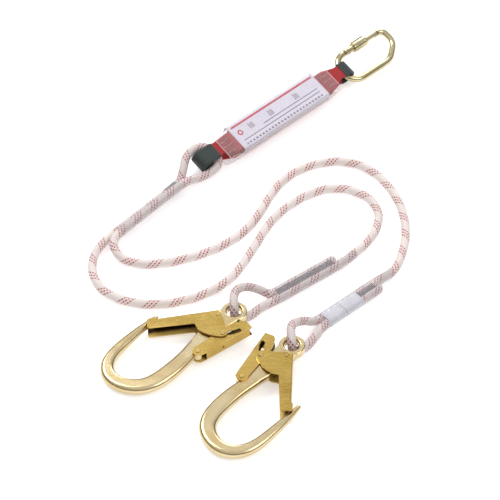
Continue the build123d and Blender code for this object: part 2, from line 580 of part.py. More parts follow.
with BuildPart() as hook_gate:
    with BuildSketch(Plane.XY.offset(-GATE_OUT)) as gate_outline:
        with BuildLine():
            Polyline(
                gate_point(-3.0, GATE_LINE), gate_point(81.0, GATE_LINE), gate_point(83.0, GATE_LINE + 2.0), gate_point(92.5, GATE_LINE + 2.0), gate_point(95.0, GATE_LINE - 0.8), gate_point(96.0, -3.6), (84.0, 42.2), (33.3, 8.8),
                (36.4, -1.5), (35.8, -9.0), (32.8, -18.0), (27.6, -27.0), (22.0, -33.6), (15.8, -36.4), (9.8, -33.6), (7.6, -27.6),
                (-6.8, 3.0),
                close=True,
            )
        make_face()
        fillet(gate_outline.vertices().group_by(Axis.X)[0], 2.0)
        fillet([v for v in gate_outline.vertices() if (v.center() - Vector(33.3, 8.8, -GATE_OUT)).length < 0.5 or abs(v.X - 33.3) < 0.1 and abs(v.Y - 8.8) < 0.1], 3.0)
    extrude(amount=2 * GATE_OUT)
    back_edges = [e for e in hook_gate.edges().filter_by(GeomType.LINE) if e.length > 70 and abs(abs((e % 0.5).dot(GD)) - 1) < 1e-3]
    fillet(back_edges, 1.9)
    with BuildSketch(Plane.XY.offset(-GATE_IN)) as gate_inside:
        with BuildLine():
            Polyline(
                gate_point(1.0, GATE_LINE - GATE_T), gate_point(86.6, GATE_LINE - GATE_T), gate_point(86.6, GATE_LINE), gate_point(79.0, GATE_LINE),
                gate_point(79.0, 20), gate_point(110, 20),
                (110, -10), (60, -60), (-30, -60), (-30, 30), gate_point(1.0, 30),
                close=True,
            )
        make_face()
    extrude(amount=2 * GATE_IN, mode=Mode.SUBTRACT)
    with Locations((PIVOT_A[0], PIVOT_A[1], 0)):
        Cylinder(PIN_A / 2 + 0.06, 40, mode=Mode.SUBTRACT)
    with Locations((PIVOT_B[0], PIVOT_B[1], 0)):
        Cylinder(PIN_B / 2, 40, mode=Mode.SUBTRACT)

# the lever: a narrower channel inside the gate's cheeks, its back along the spine
LEVER_T = 1.6


def lock_pin_in_lever(share):
    """Where the lock pin is in the lever's own frame when the gate is open by this share."""
    g, l = radians(-GATE_OPEN * share), radians(LEVER_SQUEEZE * share)
    bx = PIVOT_B[0] * cos(g) - PIVOT_B[1] * sin(g)
    by = PIVOT_B[0] * sin(g) + PIVOT_B[1] * cos(g)
    dx, dy = bx - PIVOT_C[0], by - PIVOT_C[1]
    return (PIVOT_C[0] + dx * cos(l) - dy * sin(l), PIVOT_C[1] + dx * sin(l) + dy * cos(l))


with BuildPart() as hook_lever:
    with BuildSketch(Plane.XY.offset(-LEVER_OUT)) as lever_outline:
        with BuildLine():
            Polyline(
                (-20.5, -46.8), (-22.0, -33.0), (-17.0, -28.6), (-4.0, -24.4), (14.0, -23.2), (32.0, -23.6), (50.0, -24.2),
                (61.0, -24.2), (66.6, -28.4), (67.0, -35.0), (62.5, -40.0), (54.0, -41.6),
                close=True,
            )
        make_face()
    extrude(amount=2 * LEVER_OUT)
    with BuildSketch(Plane.XY.offset(-LEVER_IN)) as lever_inside:
        with BuildLine():
            Polyline(
                (-16.5, -46.5 + LEVER_T), (53.0, -41.75 + LEVER_T), (53.0, -60), (90, -60), (90, 0), (-40, 0), (-40, -60), (-16.5, -60),
                close=True,
            )
        make_face()
    extrude(amount=2 * LEVER_IN, mode=Mode.SUBTRACT)
    with BuildSketch(Plane.XY.offset(-20)) as lock_slot:
        for k in range(5):
            with Locations(lock_pin_in_lever(-0.06 + 1.12 * k / 4)):
                Circle(PIN_B / 2 + 0.3)
        make_hull()
    extrude(amount=40, mode=Mode.SUBTRACT)
    with Locations((PIVOT_C[0], PIVOT_C[1], 0)):
        Cylinder(PIN_C / 2 + 0.06, 40, mode=Mode.SUBTRACT)
    # dimple hole over the spring's seat
    with BuildSketch(Plane(origin=(26.0, -50.0, 0), x_dir=(1, 0, 0), z_dir=(0, 1, 0))):
        Circle(1.5)
    extrude(amount=9.0, mode=Mode.SUBTRACT)
    outer_edges = [e for e in hook_lever.edges().filter_by(GeomType.LINE) if e.length > 60 and e.center().Y < -40 and abs(e.center().Z) > LEVER_OUT - 0.1]
    fillet(outer_edges, 1.5)


with BuildPart() as gate_rivet:
    with Locations((PIVOT_A[0], PIVOT_A[1], 0)):
        Cylinder(PIN_A / 2, 2 * GATE_OUT + 0.4)
        with Locations((0, 0, GATE_OUT + 0.45), (0, 0, -GATE_OUT - 0.45)):
            Cylinder(2.6, 0.8)
    chamfer(gate_rivet.edges().filter_by(GeomType.CIRCLE).filter_by(lambda e: abs(e.radius - 2.6) < 0.01 and abs(e.center().Z) > GATE_OUT + 0.7), 0.4)

with BuildPart() as lock_pin:
    with Locations((PIVOT_B[0], PIVOT_B[1], 0)):
        Cylinder(PIN_B / 2, 2 * GATE_OUT)
        with Locations((0, 0, GATE_OUT + 0.5), (0, 0, -GATE_OUT - 0.5)):
            Cylinder(3.6, 1.0)
    chamfer(lock_pin.edges().filter_by(GeomType.CIRCLE).filter_by(lambda e: abs(e.radius - 3.6) < 0.01 and abs(e.center().Z) > GATE_OUT + 0.9), 0.5)

with BuildPart() as lever_rivet:
    with Locations((PIVOT_C[0], PIVOT_C[1], 0)):
        Cylinder(PIN_C / 2, 2 * LEVER_OUT + 0.4)
        with Locations((0, 0, LEVER_OUT + 0.45), (0, 0, -LEVER_OUT - 0.45)):
            Cylinder(3.4, 0.8)
    chamfer(lever_rivet.edges().filter_by(GeomType.CIRCLE).filter_by(lambda e: abs(e.radius - 3.4) < 0.01 and abs(e.center().Z) > LEVER_OUT + 0.7), 0.4)

# double torsion spring of the gate: a turn round the rivet on each side, legs under the back
WIRE, TURN = 0.85, 4.15
with BuildPart() as gate_spring:
    for z in (6.7, -6.7):
        with Locations((PIVOT_A[0], PIVOT_A[1], z)):
            Torus(TURN, WIRE)
        start = Vector(*gate_point(0, TURN), z)
        with BuildSketch(Plane(origin=start, z_dir=GD)):
            Circle(WIRE)
        extrude(amount=30.0)
    with BuildSketch(Plane(origin=Vector(*gate_point(29.4, TURN), -7.4), z_dir=(0, 0, 1))):
        Circle(WIRE)
    extrude(amount=14.8)

# compression spring of the lever, on the inside of its back
with BuildPart() as lever_spring:
    with BuildLine() as ls_coil:
        Helix(pitch=2.3, height=11.5, radius=3.0, center=(26.0, -41.2, 0), direction=(0, 1, 0))
    ls_wire = ls_coil.wire()
    with BuildSketch(Plane(origin=ls_wire @ 0, z_dir=ls_wire % 0)):
        Circle(0.5)
    sweep(path=ls_wire, is_frenet=True)

for n, plane in ((1, HOOK_1), (2, HOOK_2)):
    PLACED += [
        (f"hook_{n}_body", hook_forging, plane),
        (f"hook_{n}_gate", hook_gate, plane),
        (f"hook_{n}_lever", hook_lever, plane),
        (f"hook_{n}_gate_rivet", gate_rivet, plane),
        (f"hook_{n}_lock_pin", lock_pin, plane),
        (f"hook_{n}_lever_rivet", lever_rivet, plane),
        (f"hook_{n}_gate_spring", gate_spring, plane),
        (f"hook_{n}_lever_spring", lever_spring, plane),
    ]

# ---------------------------------------------------------------- every piece in its place
for name, form, plane in PLACED:
    with BuildPart() as piece:
        if plane is None:
            add(form.part)
        else:
            with Locations(plane.location):
                add(form.part)
    piece.part.label = name
    export_step(piece.part, f"parts/{name}.step")
print("nodes", len(PLACED))
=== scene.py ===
import bpy
import bmesh
import numpy as np
from math import radians, sin, cos, pi, sqrt, atan2, exp
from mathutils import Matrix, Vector, noise


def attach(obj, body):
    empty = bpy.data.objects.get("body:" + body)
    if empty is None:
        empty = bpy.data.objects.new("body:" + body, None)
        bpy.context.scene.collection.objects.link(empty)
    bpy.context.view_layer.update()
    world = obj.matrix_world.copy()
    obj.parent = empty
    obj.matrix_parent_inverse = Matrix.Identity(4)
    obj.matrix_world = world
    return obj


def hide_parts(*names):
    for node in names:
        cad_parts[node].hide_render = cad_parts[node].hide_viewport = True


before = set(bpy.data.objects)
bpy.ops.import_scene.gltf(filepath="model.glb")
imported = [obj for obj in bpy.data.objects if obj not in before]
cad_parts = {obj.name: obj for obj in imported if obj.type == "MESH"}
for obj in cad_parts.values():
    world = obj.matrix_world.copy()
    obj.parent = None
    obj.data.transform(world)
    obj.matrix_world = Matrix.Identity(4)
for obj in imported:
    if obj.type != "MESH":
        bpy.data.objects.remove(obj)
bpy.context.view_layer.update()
scene = bpy.context.scene
MM = 0.001
OX, OY = -9.2, -27.2

# ------------------------------------------------------------------ camera and route of the rope
target = Vector((OX * MM, OY * MM, 0.0))
camera_data = bpy.data.cameras.new("camera")
camera_data.sensor_width = 36.0
camera_data.lens = 208.7
camera_data.clip_end = 50.0
camera = bpy.data.objects.new("camera", camera_data)
scene.collection.objects.link(camera)
camera.location = target + Vector((0.0, -4.0 * cos(radians(44)), 4.0 * sin(radians(44))))
camera.rotation_euler = (radians(46), 0.0, 0.0)
scene.camera = camera

ROUTE = [
    (0.10656, -0.05333, 0.0078),
    (0.08217, -0.07246, 0.0078),
    (0.05796, -0.09182, 0.0078),
    (0.03428, -0.11024, 0.0078),
    (0.01786, -0.12333, 0.0078),
    (0.0053, -0.1182, 0.013),
    (-0.0167, -0.1212, 0.024),
    (-0.0315, -0.1412, 0.032),
    (-0.03037, -0.16983, 0.032),
    (-0.03037, -0.16983, 0.007),
    (-0.0087, -0.1622, 0.0063),
    (0.0053, -0.1457, 0.0066),
    (0.02089, -0.13686, 0.0078),
    (0.04136, -0.12083, 0.0078),
    (0.06636, -0.10085, 0.0078),
    (0.09317, -0.07995, 0.0078),
    (0.11588, -0.0619, 0.0078),
    (0.13692, -0.04014, 0.0078),
    (0.1543, -0.0172, 0.0064),
    (0.1673, 0.0093, 0.0061),
    (0.1718, 0.0398, 0.0061),
    (0.1608, 0.0698, 0.0061),
    (0.1371, 0.0883, 0.0061),
    (0.1049, 0.0933, 0.0061),
    (0.0763, 0.0813, 0.0061),
    (0.0511, 0.0618, 0.0061),
    (0.0305, 0.0391, 0.0061),
    (0.0145, 0.0134, 0.0061),
    (0.0013, -0.0175, 0.0061),
    (-0.0126, -0.0482, 0.0061),
    (-0.0282, -0.0806, 0.0061),
    (-0.0503, -0.1056, 0.0061),
    (-0.0795, -0.1252, 0.0061),
    (-0.1141, -0.1372, 0.0061),
    (-0.1485, -0.1397, 0.0061),
    (-0.1822, -0.1317, 0.0061),
    (-0.2112, -0.1117, 0.0061),
    (-0.2257, -0.0792, 0.0061),
    (-0.2242, -0.0442, 0.0064),
    (-0.2122, -0.0212, 0.0078),
    (-0.19778, -0.00386, 0.0078),
    (-0.18031, 0.01672, 0.0078),
    (-0.16066, 0.03939, 0.0078),
    (-0.14132, 0.06232, 0.0078),
    (-0.12232, 0.08423, 0.0078),
    (-0.10745, 0.10178, 0.0084),
    (-0.1037, 0.1158, 0.0175),
    (-0.10075, 0.13498, 0.02487),
    (-0.09011, 0.1517, 0.02651),
    (-0.07367, 0.16035, 0.02479),
    (-0.05877, 0.15214, 0.01896),
    (-0.05218, 0.13841, 0.01382),
    (-0.05941, 0.12364, 0.0114),
    (-0.07427, 0.1138, 0.00858),
    (-0.0887, 0.106, 0.0098),
    (-0.10015, 0.09554, 0.0148),
    (-0.11502, 0.078, 0.0158),
    (-0.13402, 0.05609, 0.0158),
    (-0.15337, 0.03316, 0.0158),
    (-0.17302, 0.01049, 0.0158),
    (-0.19049, -0.0101, 0.0156),
    (-0.1982, -0.0242, 0.014),
    (-0.1942, -0.0407, 0.0092),
    (-0.1822, -0.0532, 0.0064),
    (-0.1612, -0.0612, 0.0061),
    (-0.1372, -0.061, 0.0061),
    (-0.1087, -0.0552, 0.0061),
    (-0.077, -0.043, 0.0061),
    (-0.0461, -0.025, 0.0061),
    (-0.0212, -0.003, 0.0061),
    (-0.0018, 0.0263, 0.0061),
    (0.0106, 0.0552, 0.0061),
    (0.023, 0.0842, 0.0061),
    (0.0381, 0.1092, 0.0061),
    (0.0598, 0.1296, 0.0061),
    (0.0893, 0.1445, 0.0061),
    (0.1208, 0.1498, 0.0061),
    (0.1518, 0.1393, 0.0061),
    (0.1748, 0.1158, 0.0061),
    (0.1913, 0.0863, 0.0061),
    (0.2026, 0.0521, 0.0061),
    (0.207, 0.0206, 0.0061),
    (0.2064, -0.0125, 0.0061),
    (0.1993, -0.0447, 0.0066),
    (0.18909, -0.07646, 0.0078),
    (0.16518, -0.09478, 0.0078),
    (0.14447, -0.11362, 0.0078),
    (0.12248, -0.13403, 0.0078),
    (0.10023, -0.15415, 0.0078),
    (0.07818, -0.1745, 0.0078),
    (0.0628, -0.1787, 0.015),
    (0.0496, -0.1917, 0.0245),
    (0.0444, -0.2077, 0.031),
    (0.04631, -0.23197, 0.031),
    (0.04631, -0.23197, 0.0066),
    (0.0653, -0.2207, 0.0064),
    (0.0773, -0.2032, 0.0066),
    (0.08662, -0.18371, 0.0078),
    (0.10734, -0.16487, 0.0078),
    (0.12785, -0.14581, 0.0078),
    (0.14789, -0.12771, 0.0078),
    (0.16773, -0.1094, 0.0078),
]


def nurbs_line(name, points, resolution=16):
    """The points of a smooth spline that has these control points."""
    data = bpy.data.curves.new(name, "CURVE")
    data.dimensions = "3D"
    data.resolution_u = resolution
    spline = data.splines.new("NURBS")
    spline.points.add(len(points) - 1)
    for p, q in zip(spline.points, points):
        p.co = (q[0], q[1], q[2], 1.0)
    spline.order_u = 3
    spline.use_endpoint_u = True
    obj = bpy.data.objects.new(name, data)
    scene.collection.objects.link(obj)
    mesh = bpy.data.meshes.new_from_object(obj)
    line = np.array([v.co[:] for v in mesh.vertices], float)
    bpy.data.objects.remove(obj)
    bpy.data.meshes.remove(mesh)
    bpy.data.curves.remove(data)
    return line


def resample(line, step):
    d = np.linalg.norm(np.diff(line, axis=0), axis=1)
    s = np.concatenate([[0], np.cumsum(d)])
    n = max(2, int(round(s[-1] / step)))
    t = np.linspace(0, s[-1], n + 1)
    return np.stack([np.interp(t, s, line[:, k]) for k in range(3)], 1), s[-1]


def smooth_line(line, rounds=2):
    q = line.copy()
    for _ in range(rounds):
        q[1:-1] = (q[:-2] + 2 * q[1:-1] + q[2:]) / 4
    return q


def frames_along(line, first=None):
    """Tangents and rotation-minimising normals of a line."""
    t = np.gradient(line, axis=0)
    t /= np.linalg.norm(t, axis=1)[:, None]
    up = np.array([0, 0, 1.0]) if first is None else np.array(first, float)
    n = np.zeros_like(line)
    v = up - t[0] * np.dot(up, t[0])
    n[0] = v / np.linalg.norm(v)
    for i in range(1, len(line)):
        v = n[i - 1] - t[i] * np.dot(n[i - 1], t[i])
        n[i] = v / np.linalg.norm(v)
    return t, n, np.cross(t, n)


# ------------------------------------------------------------------ mesh helpers
def make_object(name, verts, faces, smooth=True):
    mesh = bpy.data.meshes.new(name)
    mesh.from_pydata([tuple(v) for v in verts], [], faces)
    mesh.validate()
    if smooth:
        mesh.polygons.foreach_set("use_smooth", [True] * len(mesh.polygons))
    obj = bpy.data.objects.new(name, mesh)
    scene.collection.objects.link(obj)
    return obj


def grid_object(name, P, around=True, ring=False, uv=None, caps=True, smooth=True):
    """Quads over P[rings, points]. around closes each ring, ring joins the last ring to the first."""
    R, N = P.shape[:2]
    verts = P.reshape(-1, 3)
    faces, uvs = [], []
    cols = N if around else N - 1
    rows = R if ring else R - 1
    i = np.arange(rows)[:, None]
    j = np.arange(cols)[None, :]
    i2, j2 = (i + 1) % R, (j + 1) % N
    quad = np.stack(np.broadcast_arrays(i * N + j, i * N + j2, i2 * N + j2, i2 * N + j), -1).reshape(-1, 4)
    faces = quad.tolist()
    tail = 0
    if caps and around and not ring:
        faces.append(list(range(N))[::-1])
        faces.append([(R - 1) * N + k for k in range(N)])
        tail = 2
    obj = make_object(name, verts, faces, smooth)
    if uv is not None:
        layer = obj.data.uv_layers.new(name="UVMap")
        a = np.stack(np.broadcast_arrays(i, i, i + 1, i + 1), 0)
        b = np.stack(np.broadcast_arrays(j, j + 1, j + 1, j), 0)
        c = np.stack([uv[np.broadcast_to(a[k], (rows, cols)), np.broadcast_to(b[k], (rows, cols))] for k in range(4)], 2).reshape(-1, 2)
        flat = np.zeros((len(obj.data.loops), 2))
        flat[: len(c)] = c
        layer.data.foreach_set("uv", flat.reshape(-1).astype(np.float32))
    return obj


def uv_of(s, n, vscale=1.0):
    """UVs for rings at lengths s and n points around, with one more column for the seam."""
    return np.stack(np.broadcast_arrays(np.array(s)[:, None], (np.arange(n + 1) / n * vscale)[None, :]), -1)


def join(name, objs):
    verts, faces, base = [], [], 0
    uvs = []
    for o in objs:
        m = o.data
        verts += [v.co[:] for v in m.vertices]
        faces += [[base + k for k in p.vertices] for p in m.polygons]
        if m.uv_layers:
            f = np.zeros(len(m.loops) * 2, np.float32)
            m.uv_layers[0].data.foreach_get("uv", f)
        else:
            f = np.zeros(len(m.loops) * 2, np.float32)
        uvs.append(f)
        base += len(m.vertices)
        bpy.data.objects.remove(o)
        bpy.data.meshes.remove(m)
    obj = make_object(name, verts, faces)
    layer = obj.data.uv_layers.new(name="UVMap")
    layer.data.foreach_set("uv", np.concatenate(uvs))
    return obj


def tube_along(name, line, radius, sides=10, first=None, caps=True):
    t, n, b = frames_along(line, first)
    a = np.linspace(0, 2 * pi, sides, endpoint=False)
    r = np.broadcast_to(np.asarray(radius, float).reshape(-1, 1) if np.ndim(radius) else np.full((len(line), 1), radius), (len(line), 1))
    P = line[:, None, :] + r[:, :, None] * (np.cos(a)[None, :, None] * n[:, None, :] + np.sin(a)[None, :, None] * b[:, None, :])
    s = np.concatenate([[0], np.cumsum(np.linalg.norm(np.diff(line, axis=0), axis=1))])
    return grid_object(name, P, uv=uv_of(s, sides), caps=caps)


def wob(x, y, seed=0.0, scale=1.0):
    """Smooth repeatable unevenness, about -1 to 1."""
    return noise.noise(Vector((x * scale + seed * 7.31, y * scale - seed * 3.7, seed * 1.93)))


# ------------------------------------------------------------------ frames of the hard parts
def unit(h, p=0.0):
    h, p = radians(h), radians(p)
    return np.array([cos(h) * cos(p), sin(h) * cos(p), sin(p)])


kx = unit(44.4)
kl = np.array([-sin(radians(44.4)), cos(radians(44.4)), 0])
ky = kl * cos(radians(20)) + np.array([0, 0, 1]) * sin(radians(20))
kz = np.cross(kx, ky)
KO = np.array([38.0 + OX, 258.0 + OY, 16.8])


def K(u, v, w=0.0):
    """A point of the absorber's frame, in metres."""
    u, v, w = np.asarray(u, float), np.asarray(v, float), np.asarray(w, float)
    return (KO + u[..., None] * kx + v[..., None] * ky + w[..., None] * kz) * MM


# ------------------------------------------------------------------ materials
def new_material(name):
    m = bpy.data.materials.new(name)
    m.use_nodes = True
    nt = m.node_tree
    bsdf = nt.nodes["Principled BSDF"]
    return m, nt, bsdf


def node(nt, kind, **values):
    n = nt.nodes.new(kind)
    for k, v in values.items():
        setattr(n, k, v)
    return n


def math(nt, op, a, b=None, c=None, clamp=False):
    n = nt.nodes.new("ShaderNodeMath")
    n.operation = op
    n.use_clamp = clamp
    for k, x in enumerate((a, b, c)):
        if x is None:
            continue
        if isinstance(x, (int, float)):
            n.inputs[k].default_value = x
        else:
            nt.links.new(x, n.inputs[k])
    return n.outputs[0]


def mix(nt, fac, a, b):
    n = nt.nodes.new("ShaderNodeMix")
    n.data_type = "RGBA"
    for sock, x in ((n.inputs[0], fac), (n.inputs[6], a), (n.inputs[7], b)):
        if isinstance(x, (int, float)):
            sock.default_value = x
        elif isinstance(x, tuple):
            sock.default_value = (*x, 1.0) if len(x) == 3 else x
        else:
            nt.links.new(x, sock)
    return n.outputs[2]


def noise_tex(nt, vector, scale, detail=2.0, rough=0.5, stretch=None):
    if stretch is not None:
        mp = node(nt, "ShaderNodeMapping")
        mp.inputs["Scale"].default_value = stretch
        nt.links.new(vector, mp.inputs["Vector"])
        vector = mp.outputs[0]
    n = node(nt, "ShaderNodeTexNoise")
    n.inputs["Scale"].default_value = scale
    n.inputs["Detail"].default_value = detail
    n.inputs["Roughness"].default_value = rough
    nt.links.new(vector, n.inputs["Vector"])
    return n.outputs[0]


def bump(nt, bsdf, height, strength, distance):
    b = node(nt, "ShaderNodeBump")
    b.inputs["Strength"].default_value = strength
    b.inputs["Distance"].default_value = distance
    nt.links.new(height, b.inputs["Height"])
    nt.links.new(b.outputs[0], bsdf.inputs["Normal"])
    return b


def object_coords(nt):
    return node(nt, "ShaderNodeTexCoord").outputs["Object"]


def uv_coords(nt):
    c = node(nt, "ShaderNodeTexCoord").outputs["UV"]
    s = node(nt, "ShaderNodeSeparateXYZ")
    nt.links.new(c, s.inputs[0])
    return c, s.outputs[0], s.outputs[1]


def ramp(nt, fac, stops):
    r = node(nt, "ShaderNodeValToRGB")
    e = r.color_ramp.elements
    while len(e) < len(stops):
        e.new(0.5)
    for k, (pos, col) in enumerate(stops):
        e[k].position = pos
        e[k].color = (*col, 1.0) if len(col) == 3 else col
    nt.links.new(fac, r.inputs[0])
    return r.outputs[0]


def metal(name, base, dark, rough, grain=(40, 40, 400), grain_depth=0.00004, coat=0.0, metallic=1.0, streak=0.7):
    m, nt, b = new_material(name)
    oc = object_coords(nt)
    big = noise_tex(nt, oc, 22.0, 2.0, 0.5)
    fine = noise_tex(nt, oc, 1.0, 5.0, 0.65, stretch=grain)
    speck = noise_tex(nt, oc, 1300.0, 2.0, 0.5)
    col = mix(nt, ramp(nt, big, [(0.30, (0, 0, 0)), (0.72, (1, 1, 1))]), base, dark)
    light = tuple(min(1.0, c * 1.15) for c in base)
    col2 = mix(nt, ramp(nt, fine, [(0.40, (0, 0, 0)), (0.75, (streak, streak, streak))]), col, light)
    nt.links.new(col2, b.inputs["Base Color"])
    b.inputs["Metallic"].default_value = metallic
    rr = math(nt, "ADD", math(nt, "MULTIPLY", fine, 0.14), rough - 0.06)
    rr = math(nt, "ADD", rr, math(nt, "MULTIPLY", math(nt, "SUBTRACT", big, 0.5), 0.10))
    nt.links.new(rr, b.inputs["Roughness"])
    if coat:
        b.inputs["Coat Weight"].default_value = coat
        b.inputs["Coat Roughness"].default_value = 0.12
    h = math(nt, "ADD", math(nt, "MULTIPLY", fine, 0.5), math(nt, "MULTIPLY", speck, 0.5))
    bump(nt, b, h, 0.25, grain_depth)
    return m


M = {}
M["forged_gold"] = metal("forged_gold", (0.70, 0.58, 0.36), (0.56, 0.42, 0.20), 0.22, (26, 26, 26), 0.000004, streak=0.2)
M["sheet_gold"] = metal("sheet_gold", (0.60, 0.42, 0.125), (0.40, 0.26, 0.06), 0.24, (60, 240, 60), 0.000006, streak=0.2)
M["karabiner_gold"] = metal("karabiner_gold", (0.68, 0.61, 0.40), (0.40, 0.33, 0.17), 0.11, (200, 200, 200), 0.00001, streak=0.3)
M["rivet_steel"] = metal("rivet_steel", (0.50, 0.36, 0.13), (0.30, 0.20, 0.06), 0.32, (200, 200, 200), 0.00003)
M["spring_steel"] = metal("spring_steel", (0.42, 0.38, 0.32), (0.25, 0.22, 0.18), 0.38, (300, 300, 300), 0.00002)


def channel(name, origin, across, lit, deep):
    """Inside of a bent sheet channel: gold near its open edge, with painted shade turning it dark brown where it is
    deep.
    """
    m, nt, b = new_material(name)
    oc = object_coords(nt)
    sub = node(nt, "ShaderNodeVectorMath", operation="SUBTRACT")
    nt.links.new(oc, sub.inputs[0])
    sub.inputs[1].default_value = tuple(float(x) * MM for x in origin)
    dot = node(nt, "ShaderNodeVectorMath", operation="DOT_PRODUCT")
    nt.links.new(sub.outputs[0], dot.inputs[0])
    dot.inputs[1].default_value = tuple(float(x) for x in across)
    n1 = noise_tex(nt, oc, 1.0, 4.0, 0.6, stretch=(90, 90, 1200))
    off = math(nt, "ADD", math(nt, "MULTIPLY", dot.outputs["Value"], 1000.0), math(nt, "MULTIPLY", n1, 1.4))
    f = math(nt, "DIVIDE", math(nt, "SUBTRACT", off, lit), deep - lit, clamp=True)
    # painted shade: near-black brown mixed in with depth from the open edge
    dark = mix(nt, n1, (0.022, 0.012, 0.005), (0.13, 0.08, 0.035))
    gold = mix(nt, n1, (0.82, 0.57, 0.18), (0.68, 0.46, 0.13))
    nt.links.new(mix(nt, f, gold, dark), b.inputs["Base Color"])
    nt.links.new(math(nt, "ADD", math(nt, "MULTIPLY", f, 0.5), 0.35), b.inputs["Metallic"])
    b.inputs["Roughness"].default_value = 0.46
    bump(nt, b, n1, 0.4, 0.00008)
    return m


# rope: braid of 24 carriers, with three tracer yarns side by side in one direction
m, nt, b = new_material("rope_sheath")
uvc, ru, rv = uv_coords(nt)
lane_a = math(nt, "MULTIPLY", math(nt, "ADD", ru, rv), 12.0)
lane_b = math(nt, "MULTIPLY", math(nt, "SUBTRACT", ru, rv), 12.0)
ia, ib = math(nt, "FLOOR", lane_a), math(nt, "FLOOR", lane_b)
fa, fb = math(nt, "FRACT", lane_a), math(nt, "FRACT", lane_b)
parity = math(nt, "MODULO", math(nt, "ADD", math(nt, "ADD", ia, ib), 24000.0), 2.0)
over = math(nt, "LESS_THAN", parity, 0.5)
lane = math(nt, "MODULO", math(nt, "ADD", ia, 1200.0), 12.0)
traced = math(nt, "MULTIPLY", math(nt, "LESS_THAN", lane, 5.5), math(nt, "LESS_THAN", math(nt, "MODULO", lane, 2.0), 0.5))


def soft_band(x, edge, blur):
    up = math(nt, "DIVIDE", math(nt, "SUBTRACT", x, edge), blur, clamp=True)
    down = math(nt, "DIVIDE", math(nt, "SUBTRACT", 1.0 - edge, x), blur, clamp=True)
    return math(nt, "MULTIPLY", up, down)


red = math(nt, "MULTIPLY", math(nt, "MULTIPLY", over, traced), math(nt, "MULTIPLY", soft_band(fa, 0.0, 0.08), soft_band(fb, 0.0, 0.08)))
bulge_a = math(nt, "SINE", math(nt, "MULTIPLY", fa, pi))
bulge_b = math(nt, "SINE", math(nt, "MULTIPLY", fb, pi))
crown = math(nt, "MULTIPLY", bulge_a, bulge_b)
# filaments run along whichever yarn is on top
fil_s = math(nt, "SINE", math(nt, "MULTIPLY", fa, 2 * pi * 7))
fil_z = math(nt, "SINE", math(nt, "MULTIPLY", fb, 2 * pi * 7))
fil = math(nt, "ADD", math(nt, "MULTIPLY", over, fil_s), math(nt, "MULTIPLY", math(nt, "SUBTRACT", 1.0, over), fil_z))
grime = noise_tex(nt, object_coords(nt), 38.0, 3.0, 0.6)
lint = noise_tex(nt, object_coords(nt), 1500.0, 2.0, 0.6)
white = mix(nt, ramp(nt, grime, [(0.35, (0, 0, 0)), (0.70, (1, 1, 1))]), (0.80, 0.735, 0.705), (0.72, 0.64, 0.61))
# painted shade: each yarn darkens towards its edges, in the grooves between yarns
white = mix(nt, math(nt, "MULTIPLY", math(nt, "SUBTRACT", 1.0, crown), 0.40, clamp=True), white, (0.60, 0.47, 0.45))
# a trace of the red yarn shows from under the white one over it
ghost = math(nt, "MULTIPLY", math(nt, "MULTIPLY", traced, math(nt, "SUBTRACT", 1.0, over)), 0.36)
white = mix(nt, ghost, white, (0.66, 0.15, 0.16))
redcol = mix(nt, lint, (0.20, 0.0, 0.004), (0.32, 0.006, 0.012))
nt.links.new(mix(nt, red, white, redcol), b.inputs["Base Color"])
b.inputs["Roughness"].default_value = 0.6
b.inputs["Sheen Weight"].default_value = 0.25
b.inputs["Sheen Roughness"].default_value = 0.5
h = math(nt, "ADD", crown, math(nt, "ADD", math(nt, "MULTIPLY", lint, 0.25), math(nt, "MULTIPLY", fil, 0.06)))
bump(nt, b, h, 0.6, 0.0003)
M["rope_sheath"] = m


def film(name, tint, alpha, rough, relief=0.0006):
    m, nt, b = new_material(name)
    oc = object_coords(nt)
    n1 = noise_tex(nt, oc, 60.0, 3.0, 0.6)
    n2 = noise_tex(nt, oc, 420.0, 2.0, 0.5)
    nt.links.new(mix(nt, n1, tint, tuple(min(1.0, c * 1.1) for c in tint)), b.inputs["Base Color"])
    b.inputs["Roughness"].default_value = rough
    b.inputs["IOR"].default_value = 1.5
    nt.links.new(math(nt, "ADD", math(nt, "MULTIPLY", math(nt, "SUBTRACT", n1, 0.5), alpha * 0.5), alpha, clamp=True), b.inputs["Alpha"])
    b.inputs["Coat Weight"].default_value = 0.4
    b.inputs["Coat Roughness"].default_value = 0.12
    bump(nt, b, math(nt, "ADD", n1, math(nt, "MULTIPLY", n2, 0.25)), 0.35, relief)
    return m


M["clear_tube"] = film("clear_tube", (0.52, 0.47, 0.50), 0.19, 0.16, 0.00012)
M["clear_cover"] = film("clear_cover", (0.74, 0.58, 0.60), 0.11, 0.09)
# near-white film for the rims and creases of the cover: painted highlight
M["film_edge_painted_highlight"] = film("film_edge_painted_highlight", (0.93, 0.86, 0.87), 0.55, 0.16, 0.0002)


def cloth(name, base, dark, count=900.0, rough=0.75, depth=0.00025, ribs=420.0):
    """Webbing: UV x runs along it and UV y across, both in metres."""
    m, nt, b = new_material(name)
    uvc, u, v = uv_coords(nt)
    warp = math(nt, "SINE", math(nt, "MULTIPLY", v, 2 * pi * count))
    weft = math(nt, "SINE", math(nt, "ADD", math(nt, "MULTIPLY", u, 2 * pi * ribs), math(nt, "MULTIPLY", math(nt, "SIGN", warp), pi / 2)))
    patt = math(nt, "MULTIPLY", math(nt, "ADD", math(nt, "MULTIPLY", math(nt, "ABSOLUTE", warp), 0.6), math(nt, "MULTIPLY", weft, 0.4)), 0.8, clamp=True)
    soil = noise_tex(nt, object_coords(nt), 45.0, 4.0, 0.6)
    fuzz = noise_tex(nt, object_coords(nt), 1800.0, 2.0, 0.6)
    col = mix(nt, patt, dark, base)
    col = mix(nt, math(nt, "MULTIPLY", soil, 0.45), col, dark)
    nt.links.new(col, b.inputs["Base Color"])
    nt.links.new(math(nt, "ADD", math(nt, "MULTIPLY", fuzz, 0.15), rough - 0.07), b.inputs["Roughness"])
    b.inputs["Sheen Weight"].default_value = 0.25
    b.inputs["Sheen Roughness"].default_value = 0.45
    bump(nt, b, math(nt, "ADD", patt, math(nt, "MULTIPLY", fuzz, 0.25)), 0.7, depth)
    return m


